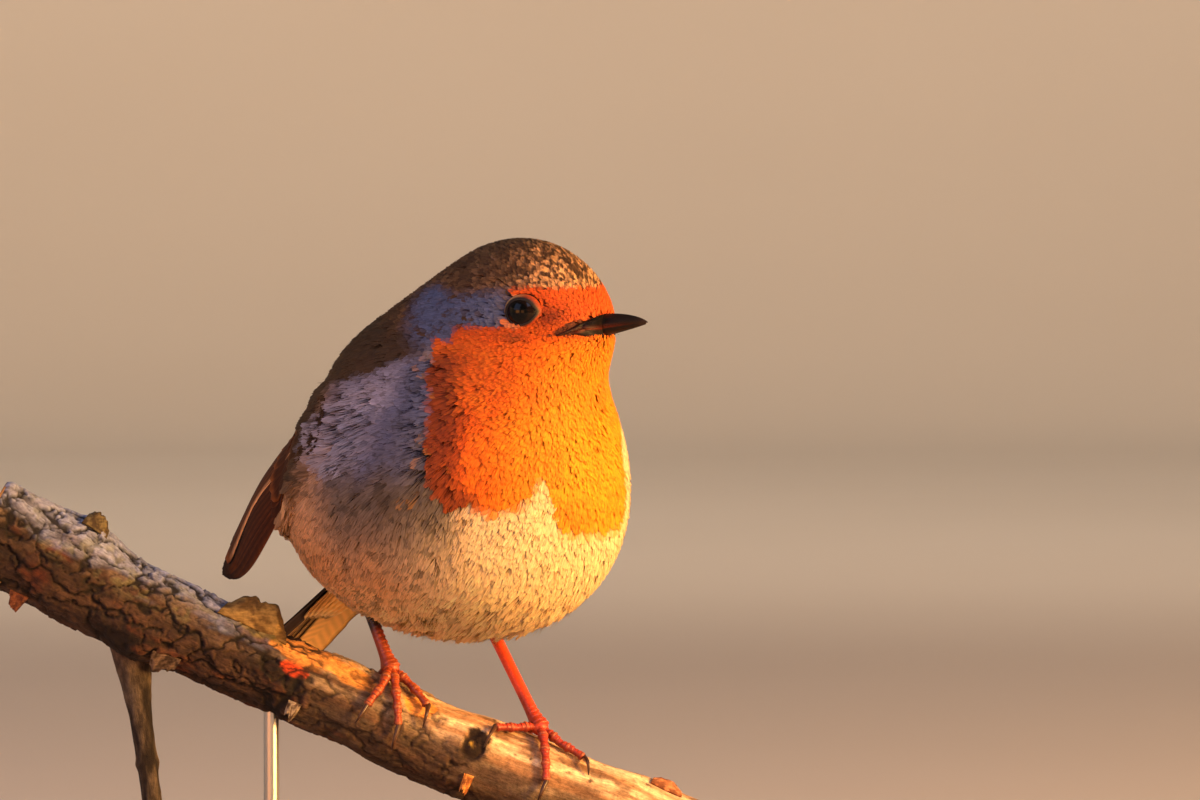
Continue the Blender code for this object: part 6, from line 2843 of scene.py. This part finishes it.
# ---------------------------------------------------------------- stand
@dataclass(frozen=True)
class PaintedWood:
    """A turned wooden base under dark satin paint: even, with a hint of grain below it."""

    name: str = "beech_painted_satin"
    figure: float = 1.0 / 0.06  # millimetres along a streak of the grain
    fine: float = 9.0  # how many times narrower it is

    def make(self) -> bpy.types.Material:
        """Makes the material.

        Returns:
            The material.
        """
        made, tree, shader = started(
            self.name, Roughness=0.42, IOR=1.5, Coat_Weight=0.2, Coat_Roughness=0.25
        )
        place = add_node(tree, "ShaderNodeTexCoord")
        long = add_node(
            tree, "ShaderNodeMapping", {"Vector": place.outputs["Object"], "Scale": (1.0, self.fine, 1.0)}
        )
        grain = add_node(
            tree, "ShaderNodeTexNoise",
            {"Vector": long.outputs["Vector"], "Scale": 1.0 / (self.figure * MM), "Detail": 4.0},
        )
        tinted(tree, shader, grain.outputs["Fac"], ("4A4540", "565049"))
        raised(tree, shader, grain.outputs["Fac"], (0.2, 0.0001))
        return made


@dataclass(frozen=True)
class BrushedSteel:
    """Drawn stainless steel rod: bright, its lengthwise scratches spreading the light."""

    name: str = "steel_drawn"
    scratch: tuple[float, float] = (1.0 / 9.0, 1.0 / 0.12)  # millimetres across a scratch, and along it

    def make(self) -> bpy.types.Material:
        """Makes the material.

        Returns:
            The material.
        """
        made, tree, shader = started(self.name, Metallic=1.0)
        shader.inputs["Base Color"].default_value = rgba("C4C2BE")
        place = add_node(tree, "ShaderNodeTexCoord")
        across, along = (1.0 / (size * MM) for size in self.scratch)
        fine = add_node(
            tree, "ShaderNodeMapping", {"Vector": place.outputs["Object"], "Scale": (across, across, along)}
        )
        lines = add_node(tree, "ShaderNodeTexNoise", {"Vector": fine.outputs["Vector"], "Scale": 1.0})
        gloss = add_node(
            tree, "ShaderNodeMapRange", {"Value": lines.outputs["Fac"], "To Min": 0.22, "To Max": 0.42}
        )
        tree.links.new(gloss.outputs["Result"], shader.inputs["Roughness"])
        return made


@dataclass
class Stand:
    """The display stand: its solids stay and get their finishes."""

    nodes: dict

    def dress(self) -> None:
        """Finishes the base and both rods."""
        wood, steel = PaintedWood().make(), BrushedSteel().make()
        for name, finish in (("stand_base", wood), ("stand_rod_1", steel), ("stand_rod_2", steel)):
            solid = self.nodes[name]
            for slot in solid.material_slots:
                slot.material = finish
            LOG.info("%s: finished as %s", name, finish.name)


# ---------------------------------------------------------------- studio
@dataclass(frozen=True)
class Lamp:
    """A square soft light.

    It has the way in which it stands (right, up and toward the viewer), its metres away, its side in
    metres, its power in watts and its colour.
    """

    name: str
    way: tuple[float, float, float]
    away: float
    size: float
    watts: float
    hue: str


@dataclass
class Studio:
    """A plain pale floor, soft lights and the camera, all placed round the model."""

    aim: tuple[float, float, float] = (0.0, 0.0, 95.0)
    azimuth: float = -40.0
    elevation: float = 2.0
    framed_right: float = 27.0
    framed_up: float = 13.2
    distance: float = 1500.0
    frame_width: float = 226.4
    sensor: float = 36.0
    floor_radius: float = 2.4
    floor_rise: float = 0.06
    rim_steps: int = 12
    lamps: tuple[Lamp, ...] = (
        Lamp("key", (0.82, 0.13, 0.54), 1.3, 0.4, 40.0, "FFBE6A"),
        Lamp("fill", (-0.85, 0.55, 0.60), 1.5, 1.0, 4.4, "B4C8FF"),
        Lamp("bounce", (-0.72, -0.03, 0.66), 1.4, 0.5, 4.8, "FF9C52"),
        Lamp("low", (-0.30, -0.04, 0.95), 1.4, 0.5, 2.6, "FFA058"),
        Lamp("rim", (0.99, 0.03, -0.12), 1.3, 0.16, 9.0, "FFB868"),
        Lamp("top", (0.30, 0.62, 0.55), 1.4, 0.6, 3.5, "C8D8FF"),
    )
    washes: int = 4
    wash_size: tuple[float, float] = (2.0, 0.4)
    wash_watts: float = 16.0
    wash_spread: float = 1.9
    wash_out: float = 0.3
    wash_height: float = 0.7
    air: float = 0.22

    def axes(self) -> tuple[Vector, Vector, Vector]:
        """The view's right, up and backward directions.

        Returns:
            The three directions.
        """
        turn, tilt = math.radians(self.azimuth), math.radians(self.elevation)
        right = Vector((math.cos(turn), math.sin(turn), 0.0))
        back = Vector((math.sin(turn) * math.cos(tilt), -math.cos(turn) * math.cos(tilt), math.sin(tilt)))
        return right, back.cross(right), back

    def camera(self) -> None:
        """A long lens at the viewing angle."""
        right, up, back = self.axes()
        middle = Vector(self.aim) + right * self.framed_right + up * self.framed_up
        data = bpy.data.cameras.new("camera")
        data.sensor_width = self.sensor
        data.lens = self.sensor * self.distance / self.frame_width
        data.clip_start, data.clip_end = 0.05, 50.0
        camera = bpy.data.objects.new("camera", data)
        place = (middle + back * self.distance) * MM
        turned = Matrix((right, up, back)).transposed().to_4x4()
        camera.matrix_world = Matrix.Translation(place) @ turned
        bpy.context.scene.collection.objects.link(camera)
        bpy.context.scene.camera = camera

    def place_light(self, data: bpy.types.AreaLight, hue: str, spot: Vector, back: Vector) -> None:
        """Colours a light and puts it in its spot.

        Args:
            data: The light.
            hue: Its colour, as a hex code.
            spot: Its place in metres.
            back: The direction away from what it lights.
        """
        data.color = rgba(hue)[:3]
        turned = back.to_track_quat("Z", "Y").to_matrix().to_4x4()
        lamp = bpy.data.objects.new(data.name, data)
        lamp.matrix_world = Matrix.Translation(spot) @ turned
        bpy.context.scene.collection.objects.link(lamp)

    def light(self, lamp: Lamp) -> None:
        """Adds one of the soft lights round the model.

        Args:
            lamp: The light's place, size and colour.
        """
        right, up, back = self.axes()
        toward = (right * lamp.way[0] + up * lamp.way[1] + back * lamp.way[2]).normalized()
        data = bpy.data.lights.new(lamp.name, "AREA")
        data.size, data.energy = lamp.size, lamp.watts
        self.place_light(data, lamp.hue, Vector(self.aim) * MM + toward * lamp.away, toward)

    def wash(self, number: int) -> None:
        """One of the lamps over the model that face outward and light only the floor's far rim.

        Args:
            number: Which of them it is.
        """
        turn = math.radians(self.azimuth + 360.0 / self.washes * number)
        out = Vector((math.sin(turn), -math.cos(turn), 0.0))
        data = bpy.data.lights.new(f"wash_{number}", "AREA")
        data.shape, data.energy, data.spread = "RECTANGLE", self.wash_watts, self.wash_spread
        data.size, data.size_y = self.wash_size
        back = -(out + Vector((0.0, 0.0, 0.12))).normalized()
        self.place_light(data, "FFE6CA", out * self.wash_out + Vector((0.0, 0.0, self.wash_height)), back)

    def floor(self) -> None:
        """A wide pale floor whose rim rises all round, so that no edge shows behind the model."""
        bm = bmesh.new()
        bmesh.ops.create_circle(bm, cap_ends=True, segments=128, radius=self.floor_radius)
        for step in range(1, self.rim_steps + 1):
            rim = [edge for edge in bm.edges if edge.is_boundary]
            grown = bmesh.ops.extrude_edge_only(bm, edges=rim)["geom"]
            verts = [item for item in grown if isinstance(item, bmesh.types.BMVert)]
            wider = 1.0 + 0.05 * math.cos(step / self.rim_steps * math.pi / 2.0)
            bmesh.ops.scale(bm, vec=(wider, wider, 1.0), verts=verts)
            bmesh.ops.translate(bm, vec=(0.0, 0.0, self.floor_rise * step / 4.0), verts=verts)
        mesh = bpy.data.meshes.new("floor")
        bm.to_mesh(mesh)
        bm.free()
        mesh.shade_smooth()
        made, tree, shader = started("studio_paper", Roughness=0.9)
        place = add_node(tree, "ShaderNodeTexCoord")
        cloud = add_node(
            tree, "ShaderNodeTexNoise", {"Vector": place.outputs["Object"], "Scale": 3.0, "Detail": 2.0}
        )
        tinted(tree, shader, cloud.outputs["Fac"], ("E2D8CC", "E8DFD4"))
        mesh.materials.append(made)
        floor = bpy.data.objects.new("floor", mesh)
        bpy.context.scene.collection.objects.link(floor)

    def build(self) -> None:
        """Sets up floor, lights, world and camera."""
        self.floor()
        for lamp in self.lamps:
            self.light(lamp)
        for number in range(self.washes):
            self.wash(number)
        world = bpy.data.worlds.new("studio_air")
        world.use_nodes = True
        world.node_tree.nodes["Background"].inputs["Color"].default_value = rgba("D9D6D0")
        world.node_tree.nodes["Background"].inputs["Strength"].default_value = self.air
        bpy.context.scene.world = world
        bpy.context.scene.view_settings.view_transform = "Standard"
        self.camera()


def main() -> None:
    """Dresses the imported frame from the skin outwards."""
    logging.basicConfig(level=logging.INFO, format="%(message)s")
    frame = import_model()
    model = Model()
    body = BodyShape()
    markings = Markings(body)
    plumage = PlumageFinish().make()
    skin = Skin(body, markings)
    skin.dress(model, plumage)
    wings = {side: WingSurface(body, side) for side in Side}
    coat = Coat(body, skin, Lie(body), markings, Cover(body, tuple(wings.values())))
    coat.dress(model, plumage)
    Eyes(body).dress(model)
    Bill(body).dress(model)
    FlightFeathers(wings, TailSurface()).dress(model)
    perch = Perch()
    perch.dress(model)
    scales, horn = ScaleFinish().make(), HornFinish("claw_keratin", 0.33, 0.4).make()
    for leg in (
        Leg(Side.RIGHT, perch, -16.4, (0.0, 13.0, 21.4), RIGHT_TOES, "D8602F", "762A16", "2A1610", 0.5),
        Leg(Side.LEFT, perch, 12.2, (-0.5, 15.2, 19.8), LEFT_TOES, "E8502C", "7A2414", "E8502C", 0.22),
    ):
        leg.dress(model, scales, horn)
    Stand(frame["nodes"]).dress()
    Studio().build()


if __name__ == "__main__":
    main()
